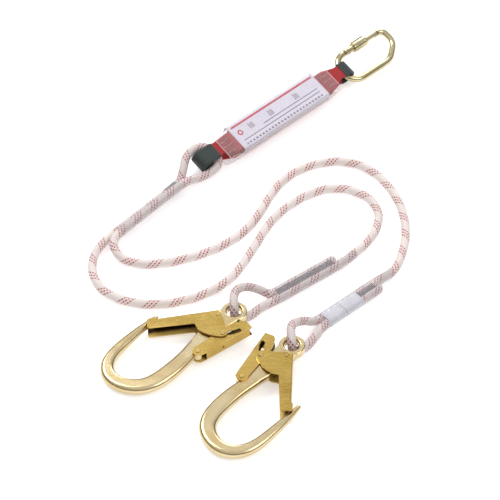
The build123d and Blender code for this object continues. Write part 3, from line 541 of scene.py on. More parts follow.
M["red_webbing"] = cloth("red_webbing", (0.62, 0.018, 0.022), (0.28, 0.006, 0.009))
M["pack_webbing"] = cloth("pack_webbing", (0.74, 0.085, 0.095), (0.46, 0.03, 0.035))
M["sleeve_webbing"] = cloth("sleeve_webbing", (0.027, 0.046, 0.041), (0.008, 0.016, 0.014), 1200.0, 0.6, 0.0002, 600.0)
M["grey_thread"] = cloth("grey_thread", (0.060, 0.068, 0.080), (0.018, 0.021, 0.027), 2500.0, 0.6, 0.0001, 1500.0)
M["dark_thread"] = cloth("dark_thread", (0.16, 0.01, 0.012), (0.06, 0.004, 0.005), 2500.0, 0.6, 0.0001, 1500.0)

# blank marking label: white film with a few ruled lines
m, nt, b = new_material("white_label")
uvc, u, v = uv_coords(nt)


def band(nt, x, lo, hi):
    return math(nt, "MULTIPLY", math(nt, "GREATER_THAN", x, lo), math(nt, "LESS_THAN", x, hi))


def any_of(nt, parts):
    out = parts[0]
    for p in parts[1:]:
        out = math(nt, "MAXIMUM", out, p)
    return out


paper = mix(nt, noise_tex(nt, object_coords(nt), 120.0, 3.0, 0.6), (0.78, 0.79, 0.85), (0.68, 0.70, 0.77))
rule = any_of(nt, [band(nt, u, 0.0295, 0.0312), band(nt, u, 0.0030, 0.0036), band(nt, u, 0.0588, 0.0594)])
for u0, u1 in ((0.0070, 0.0250), (0.0350, 0.0550)):
    sides_of = math(nt, "MULTIPLY", any_of(nt, [band(nt, u, u0, u0 + 0.0010), band(nt, u, u1 - 0.0010, u1)]), band(nt, v, 0.400, 0.560))
    lines_of = math(nt, "MULTIPLY", any_of(nt, [band(nt, v, 0.400, 0.424), band(nt, v, 0.536, 0.560)]), band(nt, u, u0, u1))
    rule = any_of(nt, [rule, math(nt, "MULTIPLY", sides_of, 0.6), math(nt, "MULTIPLY", lines_of, 0.6)])
nt.links.new(mix(nt, math(nt, "MULTIPLY", rule, 0.6), paper, (0.30, 0.31, 0.36)), b.inputs["Base Color"])
b.inputs["Roughness"].default_value = 0.32
bump(nt, b, noise_tex(nt, object_coords(nt), 240.0, 2.0, 0.5), 0.3, 0.0003)
M["white_label"] = m

# label of the pack: one red stripe and plain ruled lines; UV is millimetres / 1000 along and across
m, nt, b = new_material("label_card")
uvc, u, v = uv_coords(nt)
paper = mix(nt, noise_tex(nt, object_coords(nt), 90.0, 3.0, 0.6), (0.72, 0.73, 0.84), (0.66, 0.67, 0.79))
inside = band(nt, u, -0.0815, 0.0865)
stripe = math(nt, "MULTIPLY", band(nt, v, 0.0174, 0.0205), band(nt, u, -0.0780, 0.0840))
line_a = math(nt, "MULTIPLY", band(nt, v, -0.0075, -0.0062), band(nt, u, -0.0740, 0.0780))
line_b = math(nt, "MULTIPLY", band(nt, v, -0.0015, -0.0002), band(nt, u, -0.0300, 0.0780))
ticks = math(nt, "MULTIPLY", band(nt, math(nt, "FRACT", math(nt, "MULTIPLY", math(nt, "ADD", u, 1.0), 160.0)), 0.0, 0.52), math(nt, "MULTIPLY", band(nt, v, -0.0150, -0.0122), band(nt, u, -0.0740, 0.0780)))
bars = []
for at_u in (-0.052, -0.013, 0.038):
    for k in range(4):
        bars.append(math(nt, "MULTIPLY", band(nt, u, at_u + 0.0024 * k, at_u + 0.0024 * k + 0.0012), band(nt, v, 0.0025, 0.0125 - 0.0015 * (k % 2))))
dark_mask = any_of(nt, [line_a, line_b, ticks] + bars)
disc = math(nt, "LESS_THAN", math(nt, "ADD", math(nt, "POWER", math(nt, "ADD", u, 0.0700), 2.0), math(nt, "POWER", math(nt, "SUBTRACT", v, 0.0065), 2.0)), 0.0045 ** 2)
ring_in = math(nt, "GREATER_THAN", math(nt, "ADD", math(nt, "POWER", math(nt, "ADD", u, 0.0700), 2.0), math(nt, "POWER", math(nt, "SUBTRACT", v, 0.0065), 2.0)), 0.0022 ** 2)
red_mask = math(nt, "MAXIMUM", stripe, math(nt, "MULTIPLY", disc, ring_in))
edge = math(nt, "SUBTRACT", 1.0, inside)
# painted shade: the label is painted grey where it bends down over both long edges of the pack
low_side_painted_shade = math(nt, "DIVIDE", math(nt, "SUBTRACT", -0.0172, v), 0.003, clamp=True)
high_side_painted_shade = math(nt, "DIVIDE", math(nt, "SUBTRACT", v, 0.0240), 0.003, clamp=True)
paper = mix(nt, math(nt, "MULTIPLY", math(nt, "ADD", low_side_painted_shade, high_side_painted_shade, clamp=True), 0.85), paper, (0.36, 0.35, 0.37))
col = mix(nt, math(nt, "MULTIPLY", dark_mask, 0.9), paper, (0.04, 0.04, 0.09))
col = mix(nt, red_mask, col, (0.50, 0.012, 0.025))
nt.links.new(col, b.inputs["Base Color"])
b.inputs["Roughness"].default_value = 0.3
b.inputs["Coat Weight"].default_value = 0.35
b.inputs["Coat Roughness"].default_value = 0.1
bump(nt, b, noise_tex(nt, object_coords(nt), 70.0, 2.0, 0.5), 0.25, 0.0006)
M["label_card"] = m


def dress(obj, material, body="lanyard", replaces=()):
    obj.data.materials.clear()
    obj.data.materials.append(M[material])
    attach(obj, body)
    if replaces:
        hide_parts(*replaces)
    return obj


# ------------------------------------------------------------------ the rope
PITCH = 34.0 * MM          # lay of one yarn
STEP = PITCH / 24
centre, rope_length = resample(nurbs_line("rope_line", ROUTE, 20), STEP)
centre = smooth_line(centre, 3)
t, n, bn = frames_along(centre)
sides = 24
ang = np.arange(sides) / sides * 2 * pi
rows = np.arange(len(centre))
checker = (rows[:, None] + np.arange(sides)[None, :]) % 2
radius = (6.03 + np.where(checker == 1, 0.12, -0.24)) * MM
slow = np.array([0.05 * wob(k * 0.11, 0.0, 2.0) for k in rows]) * MM
radius = radius + slow[:, None]
P = centre[:, None, :] + radius[:, :, None] * (np.cos(ang)[None, :, None] * n[:, None, :] + np.sin(ang)[None, :, None] * bn[:, None, :])
# the cut ends are melted to a low dome
for end, k in ((0, range(4)), (-1, range(4))):
    for i in k:
        row = i if end == 0 else len(centre) - 1 - i
        f = sqrt(max(0.0, 1 - ((4 - i) / 4.6) ** 2))
        P[row] = centre[row] + (P[row] - centre[row]) * (0.25 + 0.75 * f)
rope = grid_object("rope_braid", P, uv=uv_of(rows * STEP / PITCH, sides))
dress(rope, "rope_sheath", replaces=("rope",))
print("rope length", round(rope_length, 4), "verts", len(rope.data.vertices))


# ------------------------------------------------------------------ clear tubes over the splices
S1, D1 = np.array([32.5 + OX, -99.8 + OY]), np.array([0.785, 0.6195])
S2, D2 = np.array([97.5 + OX, -146.5 + OY]), np.array([0.7373, 0.6756])
YA, DY = np.array([-98.5 + OX, 121.3 + OY]), np.array([-0.6499, -0.7600])
SEWN = 7.8


def strand_at(start, direction, s, near):
    """Centre of the rope where it crosses the plane at s along a splice, the crossing nearest to a guess."""
    rel = centre[:, :2] / MM - start
    along = rel @ direction
    cross = np.nonzero((along[:-1] - s) * (along[1:] - s) <= 0)[0]
    best, at = 1e9, None
    for k in cross:
        f = (s - along[k]) / (along[k + 1] - along[k] + 1e-12)
        p = centre[k] * (1 - f) + centre[k + 1] * f
        d = np.linalg.norm(p / MM - near)
        if d < best:
            best, at = d, p
    return at


def hull_rings(c1, c2, r, direction, sides=28, seed=0.0, wave=0.0, lateral=None):
    """Rings of a stretched film round two strands."""
    rings = []
    for k in range(len(c1)):
        d = direction[k]
        lat = c1[k] - c2[k]
        lat = lat - d * np.dot(lat, d)
        if np.linalg.norm(lat) < 1e-5:
            lat = lateral - d * np.dot(lateral, d)
        lat = lat / np.linalg.norm(lat)
        up = np.cross(d, lat)
        half = sides // 2
        ring = []
        for j in range(sides):
            first = j < half
            a = (j / (half - 1) - 0.5) * pi if first else ((j - half) / (half - 1) + 0.5) * pi
            c = c1[k] if first else c2[k]
            rr = r[k] * (1 + wave * wob(k * 0.35, a * 1.3, seed))
            ring.append(c + rr * (cos(a) * lat + sin(a) * up))
        rings.append(ring)
    return np.array(rings)


def film_object(name, c1, c2, r, direction, seed, wave=0.03, lateral=None, thick=0.45 * MM):
    outer = hull_rings(c1, c2, r, direction, seed=seed, wave=wave, lateral=lateral)
    inner = hull_rings(c1, c2, r - thick, direction, seed=seed, wave=wave, lateral=lateral)
    P = np.concatenate([outer, inner[::-1]], 0)
    return grid_object(name, P, around=True, ring=True, caps=False)


def flat(v2):
    return np.array([v2[0], v2[1], 0.0])


# splice 1: from the throat of the eye to the film's end on the single rope
def splice_film(name, S, D, tail_side, tail_end, film_end, seed, replaces):
    right = np.array([D[1], -D[0]])
    svals = np.concatenate([np.arange(-7, tail_end + 8, 3.0), np.arange(tail_end + 9, film_end, 3.0), [film_end]])
    c1, c2, rr, dd = [], [], [], []
    for s in svals:
        g_tail = np.array([*(S + D * min(s, tail_end) + right * 6.25 * tail_side), SEWN])
        g_leg = np.array([*(S + D * s - right * 6.25 * tail_side), SEWN])
        leg = strand_at(S, D, s, g_leg)
        if s <= tail_end - 1:
            tail = strand_at(S, D, s, np.array([*(S + D * s + right * 6.25 * tail_side), SEWN]))
            last_tail = tail
            last_s = s
            f = 1.0
        else:
            f = max(0.0, 1 - (s - tail_end + 1) / 9.0)
            f = f * f * (3 - 2 * f)
            tail = last_tail + flat(D) * (s - last_s) * MM
            tail = leg + (tail - leg) * f
        c1.append(tail)
        c2.append(leg)
        base = 6.75 if s > -3 else 6.55
        rr.append((base + (0.25 if 3 < s < tail_end else 0.0)) * MM)
        dd.append(flat(D))
    c1, c2, rr, dd = map(np.array, (c1, c2, rr, dd))
    # directions follow the leg past the tail
    g = np.gradient(c2, axis=0)
    g /= np.linalg.norm(g, axis=1)[:, None]
    g[:, 2] = 0
    w = np.clip((svals - tail_end - 8) / 8, 0, 1)[:, None]
    dd = dd * (1 - w) + g * w
    dd /= np.linalg.norm(dd, axis=1)[:, None]
    rr[0] += 0.0
    obj = film_object(name, c1, c2, rr, dd, seed, lateral=flat(right * tail_side))
    dress(obj, "clear_tube", replaces=replaces)
    return obj, c1, c2, svals


film_1, tail1, leg1, s1 = splice_film("splice_film_1", S1, D1, -1, 111.0, 139.0, 1.0, ("splice_tube_1",))
film_2, tail2, leg2, s2 = splice_film("splice_film_2", S2, D2, 1, 102.0, 135.0, 2.0, ("splice_tube_2",))

SIDE_Y = np.array([DY[1], -DY[0]])
ysv = np.concatenate([np.arange(-1.0, 130.0, 3.0), [131.0]])
low_c, top_c = [], []
for s in ysv:
    base = YA + DY * s
    low_c.append(strand_at(YA, DY, s, np.array([*(base + SIDE_Y * 4.8), 7.8])))
    top_c.append(strand_at(YA, DY, s, np.array([*(base - SIDE_Y * 4.8), 15.8])))
low_c, top_c = np.array(low_c), np.array(top_c)
yfilm = film_object("y_film", top_c, low_c, np.full(len(ysv), 6.9 * MM), np.tile(flat(DY), (len(ysv), 1)), 3.0, wave=0.012)
dress(yfilm, "clear_tube", replaces=("y_shrink_tube",))


# ------------------------------------------------------------------ sewn seams: rows of thread between the strands
def seam(name, tails, legs, svals, s_from, s_to, reach, spacing, thread, replaces, over=0.0):
    """Threads over the groove between two strands, on both faces."""
    objs = []
    count = int((s_to - s_from) / spacing)
    for side in (1, -1):
        for k in range(count + 1):
            s = s_from + k * spacing
            a = np.array([np.interp(s, svals, tails[:, q]) for q in range(3)])
            c = np.array([np.interp(s + (0.9 if k % 2 else -0.9), svals, legs[:, q]) for q in range(3)])
            if side < 0:
                a, c = np.array([np.interp(s + (0.9 if k % 2 else -0.9), svals, tails[:, q]) for q in range(3)]), np.array([np.interp(s, svals, legs[:, q]) for q in range(3)])
            lat = (c - a) / np.linalg.norm(c - a)
            run = np.array([np.interp(s + 2.0, svals, tails[:, q]) - np.interp(s - 2.0, svals, tails[:, q]) for q in range(3)])
            up = np.cross(lat, run)
            up = up / np.linalg.norm(up) * (1.0 if up[2] > 0 else -1.0)
            mid = (a + c) / 2
            pts = []
            for f in np.linspace(-1, 1, 11):
                x = f * reach - over * (1 - f) / 2
                # rest on the strands: height of the strand surface at this offset
                off = abs(abs(x) - 6.25)
                h = sqrt(max(0.0, 36.2 - off * off))
                h = max(h, 4.35) if abs(f) < 0.9 else h - 0.5
                pts.append(mid + lat * x * MM + up * side * (h + 0.15) * MM)
            objs.append(tube_along(name + str(k) + ("a" if side > 0 else "b"), np.array(pts), thread * MM, 6, first=tuple(up)))
    obj = join(name, objs)
    dress(obj, "grey_thread", replaces=replaces)
    return obj


seam("seam_1", tail1, leg1, s1, 7.0, 103.0, 5.3, 1.2, 0.58, ("splice_stitching_1",))
seam("seam_2", tail2, leg2, s2, 7.0, 96.0, 4.8, 1.2, 0.58, ("splice_stitching_2",))

def eye_film(name, i0, i1, r=6.42):
    """Clear tube round the single strand of an eye, between two rings of the rope."""
    line = smooth_line(centre[i0:i1:2], 2)
    t_, n_, b_ = frames_along(line)
    a = np.linspace(0, 2 * pi, 22, endpoint=False)
    out = []
    for q in range(len(line)):
        rr = np.array([(r + 0.13 * wob(q * 0.22, x * 1.2, 31.0)) * MM for x in a])
        out.append(line[q] + rr[:, None] * (np.cos(a)[:, None] * n_[q] + np.sin(a)[:, None] * b_[q]))
    obj = grid_object(name, np.array(out), caps=False)
    dress(obj, "clear_tube")
    return obj


def ring_near(p):
    return int(np.argmin(np.linalg.norm(centre - np.array(p), axis=1)))


def ring_of(S, D, s, offset, z):
    right = np.array([D[1], -D[0]])
    return ring_near(np.array([*(S + D * s + right * offset), z]) * MM)


i0, i1 = sorted((ring_of(S1, D1, -7, -6.25, SEWN), ring_of(S1, D1, -7, 6.25, SEWN)))
eye_film("eye_film_1", i0, i1)
i0, i1 = sorted((ring_of(S2, D2, -7, -6.25, SEWN), ring_of(S2, D2, -7, 6.25, SEWN)))
eye_film("eye_film_2", i0, i1)
i0, i1 = sorted((ring_near(low_c[0]), ring_near(top_c[0])))
eye_film("eye_film_y", i0, i1)

# the middle splice is sewn only near its throat
seam("y_seam", low_c, top_c, ysv, 3.0, 24.0, 4.4, 1.1, 0.62, ("y_stitching",), over=6.0)

# marking label wrapped round splice 2
ls = np.arange(4.0, 66.1, 2.0)
a = np.stack([[np.interp(s, s2, tail2[:, q]) for q in range(3)] for s in ls])
c = np.stack([[np.interp(s, s2, leg2[:, q]) for q in range(3)] for s in ls])
dd = np.tile(flat(D2), (len(ls), 1))
o1 = hull_rings(a, c, np.full(len(ls), 6.42 * MM), dd, seed=5.0, wave=0.01)
i1 = hull_rings(a, c, np.full(len(ls), 6.25 * MM), dd, seed=5.0, wave=0.01)
P = np.concatenate([o1, i1[::-1]], 0)
uvs = uv_of(np.concatenate([(ls - 4) * MM, (ls[::-1] - 4) * MM, [0.0]]), 28)
mark = grid_object("marking_wrap", P, around=True, ring=True, caps=False, uv=uvs)
dress(mark, "white_label", replaces=("marking_label",))


# ------------------------------------------------------------------ webbing
def strap(name, path, v0, v1, thick, material, replaces=(), wave=0.0, seed=0.0, across=12, hollow=None, caps=True):
    """A strap on edge-rounded section along a path of (u, w), from v0 to v1, each an array."""
    path = np.asarray(path, float)
    d = np.gradient(path, axis=0)
    d /= np.linalg.norm(d, axis=1)[:, None]
    nrm = np.stack([-d[:, 1], d[:, 0]], 1)
    s = np.concatenate([[0], np.cumsum(np.linalg.norm(np.diff(path, axis=0), axis=1))])

    def section(extra):
        pts = []
        r = (thick / 2 + extra)
        e = np.linspace(-1, 1, across)
        e = np.sign(e) * np.abs(e) ** 0.8
        top = [(x, r) for x in e]
        right = [(1 + 0.0, r * cos(a)) for a in np.linspace(0, pi, 6)[1:-1]]
        bottom = [(x, -r) for x in e[::-1]]
        left = [(-1 - 0.0, -r * cos(a)) for a in np.linspace(0, pi, 6)[1:-1]]
        bulge = [0.0] * across + [r * sin(a) for a in np.linspace(0, pi, 6)[1:-1]] + [0.0] * across + [-r * sin(a) for a in np.linspace(0, pi, 6)[1:-1]]
        return np.array(top + right + bottom + left), np.array(bulge)

    def rings(extra):
        sec, bulge = section(extra)
        out = []
        for k in range(len(path)):
            mid, half = (v0[k] + v1[k]) / 2, (v1[k] - v0[k]) / 2 - thick / 2
            half += extra * 0.7
            v = mid + sec[:, 0] * half + bulge
            off = sec[:, 1] + np.array([wave * wob(s[k] * 0.09, x * 0.09, seed) for x in v])
            out.append(K(path[k, 0] + nrm[k, 0] * off, v, path[k, 1] + nrm[k, 1] * off))
        return np.array(out), sec, bulge

    outer, sec, bulge = rings(0.0 if hollow is None else hollow)
    N = outer.shape[1]
    girth = np.concatenate([[0], np.cumsum(np.linalg.norm(np.diff(np.vstack([outer[0], outer[0][:1]]), axis=0), axis=1))])
    if hollow is None:
        uv = np.stack(np.broadcast_arrays((s * MM)[:, None], girth[None, :]), -1)
        obj = grid_object(name, outer, uv=uv, caps=caps)
    else:
        inner, _, _ = rings(0.02)
        P = np.concatenate([outer, inner[::-1]], 0)
        ss = np.concatenate([s, s[::-1], s[:1]]) * MM
        uv = np.stack(np.broadcast_arrays(ss[:, None], girth[None, :]), -1)
        obj = grid_object(name, P, around=True, ring=True, uv=uv, caps=False)
    dress(obj, material, replaces=replaces)
    return obj


def loop_path(tip, start, half, step=1.6):
    """Centre line of a loop: along the upper ply, round, and back along the lower."""
    sgn = 1 if tip > start else -1
    n1 = int(abs(tip - start) / step)
    up = [(start + (tip - start) * k / n1, half) for k in range(n1)]
    turn = [(tip + sgn * half * sin(a), half * cos(a)) for a in np.linspace(0, pi, 22)]
    down = [(tip + (start - tip) * k / n1, -half) for k in range(1, n1 + 1)]
    return np.array(up + turn + down)


STRAP_T, STRAP_IN = 2.5, 8.1
HALF = STRAP_IN + STRAP_T / 2

p = loop_path(140.2, 60.0, HALF)
lo = np.interp(p[:, 0], [60, 104, 124, 160], [-14.0, -14.0, -8.6, -8.4])
hi = np.interp(p[:, 0], [60, 104, 124, 160], [18.0, 18.0, 12.4, 12.0])
strap("karabiner_webbing", p, lo, hi, 2.3, "red_webbing", ("karabiner_loop",), wave=0.12, seed=1.0)
p = loop_path(140.2, 131.5, HALF, 1.2)
lo, hi = np.full(len(p), -9.1), np.full(len(p), 12.8)
lo += np.array([0.5 * wob(k * 0.25, 0, 8.0) for k in range(len(p))])
hi += np.array([0.5 * wob(k * 0.25, 5, 9.0) for k in range(len(p))])
strap("karabiner_end_sleeve", p, lo, hi, 2.3, "sleeve_webbing", ("karabiner_wear_sleeve",), wave=0.12, seed=1.0, hollow=0.75)

p = loop_path(-142.0, -60.0, HALF)
lo = np.interp(-p[:, 0], [60, 92, 111, 160], [-14.5, -14.5, -6.0, -5.9])
hi = np.interp(-p[:, 0], [60, 92, 111, 160], [18.0, 18.0, 16.4, 16.0])
strap("rope_end_webbing", p, lo, hi, 2.3, "red_webbing", ("rope_loop",), wave=0.12, seed=2.0)
p = loop_path(-142.0, -119.5, HALF, 1.2)
lo, hi = np.full(len(p), -6.5), np.full(len(p), 17.0)
strap("rope_end_sleeve", p, lo, hi, 2.3, "sleeve_webbing", ("rope_wear_sleeve",), wave=0.12, seed=2.0, hollow=0.75)

# tear webbing: one strip folded back and forth
plies, ply, pitch = 6, 2.2, 2.68
stack0 = -(plies - 1) * pitch / 2
pts = []
ua, ub = -76.6, 84.6
for i in range(plies):
    w = stack0 + i * pitch
    xs = np.linspace(ua, ub, 54) if i % 2 == 0 else np.linspace(ub, ua, 54)
    pts += [(x, w + 0.10 * wob(x * 0.05, i, 4.0)) for x in xs]
    if i < plies - 1:
        c, sgn = (ub, 1) if i % 2 == 0 else (ua, -1)
        pts += [(c + sgn * pitch / 2 * sin(a), w + pitch / 2 - pitch / 2 * cos(a)) for a in np.linspace(0, pi, 8)[1:-1]]
pts = np.array(pts)
lo = np.array([-16.0 + 0.35 * wob(x * 0.06, k * 0.01, 5.0) for k, (x, _) in enumerate(pts)])
hi = np.array([23.0 + 0.35 * wob(x * 0.06, k * 0.01, 6.0) for k, (x, _) in enumerate(pts)])
strap("tear_strip", pts, lo, hi, ply, "pack_webbing", ("tear_webbing",), across=10)

# bar tacks on the straps
def bar_tack(name, u0, replaces):
    objs = []
    top = STRAP_IN + STRAP_T
    for k in range(6):
        u = u0 + 2.8 * k
        vs = np.arange(-12.0, 16.01, 0.8)
        line = [(u + (0.55 if q % 2 else -0.55), v, top + 0.05 + (0.0 if q % 2 else 0.12)) for q, v in enumerate(vs)]
        objs.append(tube_along(name + str(k), K(*np.array(line).T), 0.26 * MM, 5, first=kz))
    obj = join(name, objs)
    dress(obj, "dark_thread", replaces=replaces)


bar_tack("karabiner_bar_tacks", 92.0, ("karabiner_loop_stitching",))
bar_tack("rope_bar_tacks", -106.0, ("rope_loop_stitching",))


# ------------------------------------------------------------------ cover and label of the pack
def cover_half(u):
    """v0, v1 and half height of the cover at u."""
    v0 = np.interp(u, [-111, -88, -84, 90, 94, 112], [-17.6, -20.2, -20.5, -20.5, -20.2, -17.0])
    v1 = np.interp(u, [-111, -88, -84, 90, 94, 112], [20.6, 26.6, 27.0, 27.0, 26.6, 21.0])
    h = np.interp(u, [-111, -100, -86, 92, 102, 112], [11.6, 11.8, 11.75, 11.75, 11.8, 11.6])
    return v0, v1, h


def cover_ring(u, inset, sides=72, wrinkle=1.0):
    v0, v1, h = cover_half(u)
    v0, v1, h = v0 + inset, v1 - inset, h - inset
    r = 5.0 - inset
    mid, hw = (v0 + v1) / 2, (v1 - v0) / 2
    ring = []
    end = exp(-((u + 111) / 14.0) ** 2) + exp(-((u - 112) / 14.0) ** 2)
    fold = exp(-((u + 92) / 9.0) ** 2) + exp(-((u - 97) / 9.0) ** 2)
    for j in range(sides):
        a = 2 * pi * j / sides
        cx, cy = cos(a), sin(a)
        # rounded rectangle by a superellipse-like ray
        x, y = hw - r, h - r
        k = 1.0 / max(abs(cx) / (hw + 1e-9), abs(cy) / (h + 1e-9))
        px, py = cx * k, cy * k
        qx, qy = max(-x, min(x, px)), max(-y, min(y, py))
        dx, dy = px - qx, py - qy
        d = sqrt(dx * dx + dy * dy)
        if d > 1e-6:
            px, py = qx + dx / d * r, qy + dy / d * r
        nx, ny = (dx / d, dy / d) if d > 1e-6 else (0.0, 1.0)
        wv = 0.25 * wob(u * 0.05, a * 2.0, 11.0) + 0.9 * end * wob(u * 0.10, a * 5.0, 12.0) + 0.8 * fold * wob(u * 0.28, a * 3.0, 13.0)
        wv = min(wv, 0.35) * wrinkle
        ring.append((px + nx * wv + mid, py + ny * wv))
    return ring


us = np.concatenate([np.arange(-111, -80, 1.5), np.arange(-80, 88, 4.0), np.arange(88, 112.1, 1.5)])
outer, inner = [], []
for u in us:
    ring = np.array(cover_ring(u, 0.0))
    slant = -0.16 * (ring[:, 0] - 3.0) * (1 if abs(u) > 100 else 0) * min(1.0, (abs(u) - 100) / 10 if abs(u) > 100 else 0)
    outer.append(K(u + slant * (-1 if u < 0 else 1) * 0 + 0 * slant, ring[:, 0], ring[:, 1]))
    ring = np.array(cover_ring(u, 0.45))
    inner.append(K(np.full(len(ring), u), ring[:, 0], ring[:, 1]))
P = np.concatenate([np.array(outer), np.array(inner)[::-1]], 0)
cover = grid_object("shrink_film", P, around=True, ring=True, caps=False)
dress(cover, "clear_cover", replaces=("shrink_cover",))

# the film is a little thicker along its cut rims and where its gathered ends crease; these are thin near-white tubes, a
# painted highlight along rims and creases
creases = []
for u in (-110.6, 111.6):
    ring = np.array(cover_ring(u, 0.15))
    ring = np.concatenate([ring, ring[:2]], 0)
    creases.append(tube_along("film_rim%d" % (u > 0), K(np.full(len(ring), u), ring[:, 0], ring[:, 1]), 0.42 * MM, 8))
for j, near_u, far_u, thick in ((5, 82.0, 110.5, 0.34), (31, 90.0, 110.5, 0.30), (41, 84.0, 110.5, 0.34), (67, 82.0, 110.5, 0.34), (12, 90.0, 110.0, 0.16), (20, 88.0, 110.0, 0.15), (27, 92.0, 110.0, 0.16)):
    for sign in (-1, 1):
        us = np.arange(near_u + (2.0 if sign < 0 else 5.0), far_u, 1.5) * sign
        line = []
        for u in us:
            ring = cover_ring(u, 0.1)
            shift = 1.2 * wob(u * 0.12, j * 1.7, 41.0)
            a, f = (j + int(np.floor(shift))) % 72, shift - np.floor(shift)
            q0, q1 = np.array(ring[a]), np.array(ring[(a + 1) % 72])
            q = q0 * (1 - f) + q1 * f
            line.append(K(u, q[0], q[1]))
        creases.append(tube_along("crease%d_%d" % (j, sign), np.array(line), thick * MM, 6))
folds = join("film_creases", creases)
dress(folds, "film_edge_painted_highlight")

# the label lies under the film and bends over both long edges
us = np.linspace(-83.0, 88.0, 72)
prof = []
v0, v1, h = -19.4, 25.9, 11.05
r = 3.8
sect = [(v0, -3.0), (v0, h - r)]
sect += [(v0 + r - r * cos(a), h - r + r * sin(a)) for a in np.linspace(0, pi / 2, 7)[1:]]
sect += [(x, h) for x in np.linspace(v0 + r, v1 - r, 22)[1:-1]]
sect += [(v1 - r + r * sin(a), h - r + r * cos(a)) for a in np.linspace(0, pi / 2, 7)]
sect += [(v1, -3.0)]
sect = np.array(sect)
arc = np.concatenate([[0], np.cumsum(np.linalg.norm(np.diff(sect, axis=0), axis=1))])
flat_v = arc - np.interp(0.0, sect[:, 0], arc)
out_r, in_r = [], []
d = np.gradient(sect, axis=0)
d /= np.linalg.norm(d, axis=1)[:, None]
nr = np.stack([-d[:, 1], d[:, 0]], 1)
for u in us:
    wv = np.array([0.12 * wob(u * 0.05, x * 0.08, 21.0) for x in sect[:, 0]])
    out_r.append(K(np.full(len(sect), u), sect[:, 0] + nr[:, 0] * wv, sect[:, 1] + nr[:, 1] * wv))
    in_r.append(K(np.full(len(sect), u), sect[:, 0] + nr[:, 0] * (wv - 0.2), sect[:, 1] + nr[:, 1] * (wv - 0.2)))
P = np.concatenate([np.array(out_r), np.array(in_r)[:, ::-1]], 1)
vv = np.concatenate([flat_v, flat_v[::-1], flat_v[:1]]) * MM
uv = np.stack(np.broadcast_arrays((us * MM)[:, None], vv[None, :]), -1)
label = grid_object("pack_label", P, around=True, uv=uv, caps=True)
dress(label, "label_card", replaces=("label_card",))


# ------------------------------------------------------------------ hard parts keep their CAD shape
def paint(name, material, inner=None, inner_test=None):
    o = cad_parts[name]
    o.data.materials.clear()
    o.data.materials.append(M[material])
    if inner is not None:
        o.data.materials.append(M[inner])
        for p in o.data.polygons:
            p.material_index = 1 if inner_test(p.center, p.normal) else 0
    else:
        for p in o.data.polygons:
            p.material_index = 0


A1, X1 = np.array([-42.4 + OX, -152.15 + OY, 18.3]), unit(-140.9, -3.4)
L1 = np.array([-sin(radians(-140.9)), cos(radians(-140.9)), 0])
Z1 = np.cross(L1, X1)
Y1 = np.cross(Z1, X1)
A2, X2 = np.array([48.41 + OX, -226.95 + OY, 17.4]), unit(-122.68, -3.1)
L2 = np.array([-sin(radians(-122.68)), cos(radians(-122.68)), 0])
Z2 = np.cross(X2, L2)
Y2 = np.cross(Z2, X2)


def eased(name, width, material, body, inner=None, inner_test=None):
    """A copy of a sheet part with its sheared edges eased, standing for the CAD node."""
    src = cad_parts[name]
    bm = bmesh.new()
    bm.from_mesh(src.data)
    bmesh.ops.remove_doubles(bm, verts=bm.verts, dist=2e-6)
    bmesh.ops.dissolve_limit(bm, angle_limit=radians(1.0), verts=bm.verts, edges=bm.edges)
    mesh = bpy.data.meshes.new(name + "_eased")
    bm.to_mesh(mesh)
    bm.free()
    for attribute in [a.name for a in mesh.attributes if a.name in ("custom_normal",)]:
        mesh.attributes.remove(mesh.attributes[attribute])
    mesh.polygons.foreach_set("use_smooth", [True] * len(mesh.polygons))
    obj = bpy.data.objects.new(name + "_sheet", mesh)
    scene.collection.objects.link(obj)
    mesh.materials.clear()
    mesh.materials.append(M[material])
    if inner:
        mesh.materials.append(M[inner])
    for p in mesh.polygons:
        p.material_index = 1 if inner and inner_test(p.center, p.normal) else 0
    mod = obj.modifiers.new("edge", "BEVEL")
    mod.width = width * MM
    mod.segments = 2
    mod.limit_method = "ANGLE"
    mod.angle_limit = radians(40)
    mod.harden_normals = True
    mod.use_clamp_overlap = True
    final = bpy.data.meshes.new_from_object(obj.evaluated_get(bpy.context.evaluated_depsgraph_get()))
    obj.modifiers.clear()
    obj.data = final
    bpy.data.meshes.remove(mesh)
    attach(obj, body)
    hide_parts(name)
    return obj


def inner_face(A, Z, away, half):
    """Faces of a channel's inside: both cheeks' inner sides and the inner side of its back."""
    def test(c, nrm):
        w, nz = (np.array(c) / MM - A) @ Z, np.array(nrm) @ Z
        if abs(w) > half + 0.3:
            return False
        if abs(nz) > 0.7:
            return nz * w < 0
        return abs(w) < half - 0.3 and np.array(nrm) @ away > 0.6
    return test


def lock_pin_in_lever(share):
    g, l = radians(-35.0 * share), radians(5.0 * share)
    bx, by = 16.4 * cos(g) + 30.1 * sin(g), 16.4 * sin(g) - 30.1 * cos(g)
    dx, dy = bx - 59.8, by + 32.0
    return np.array([59.8 + dx * cos(l) - dy * sin(l), -32.0 + dx * sin(l) + dy * cos(l)])


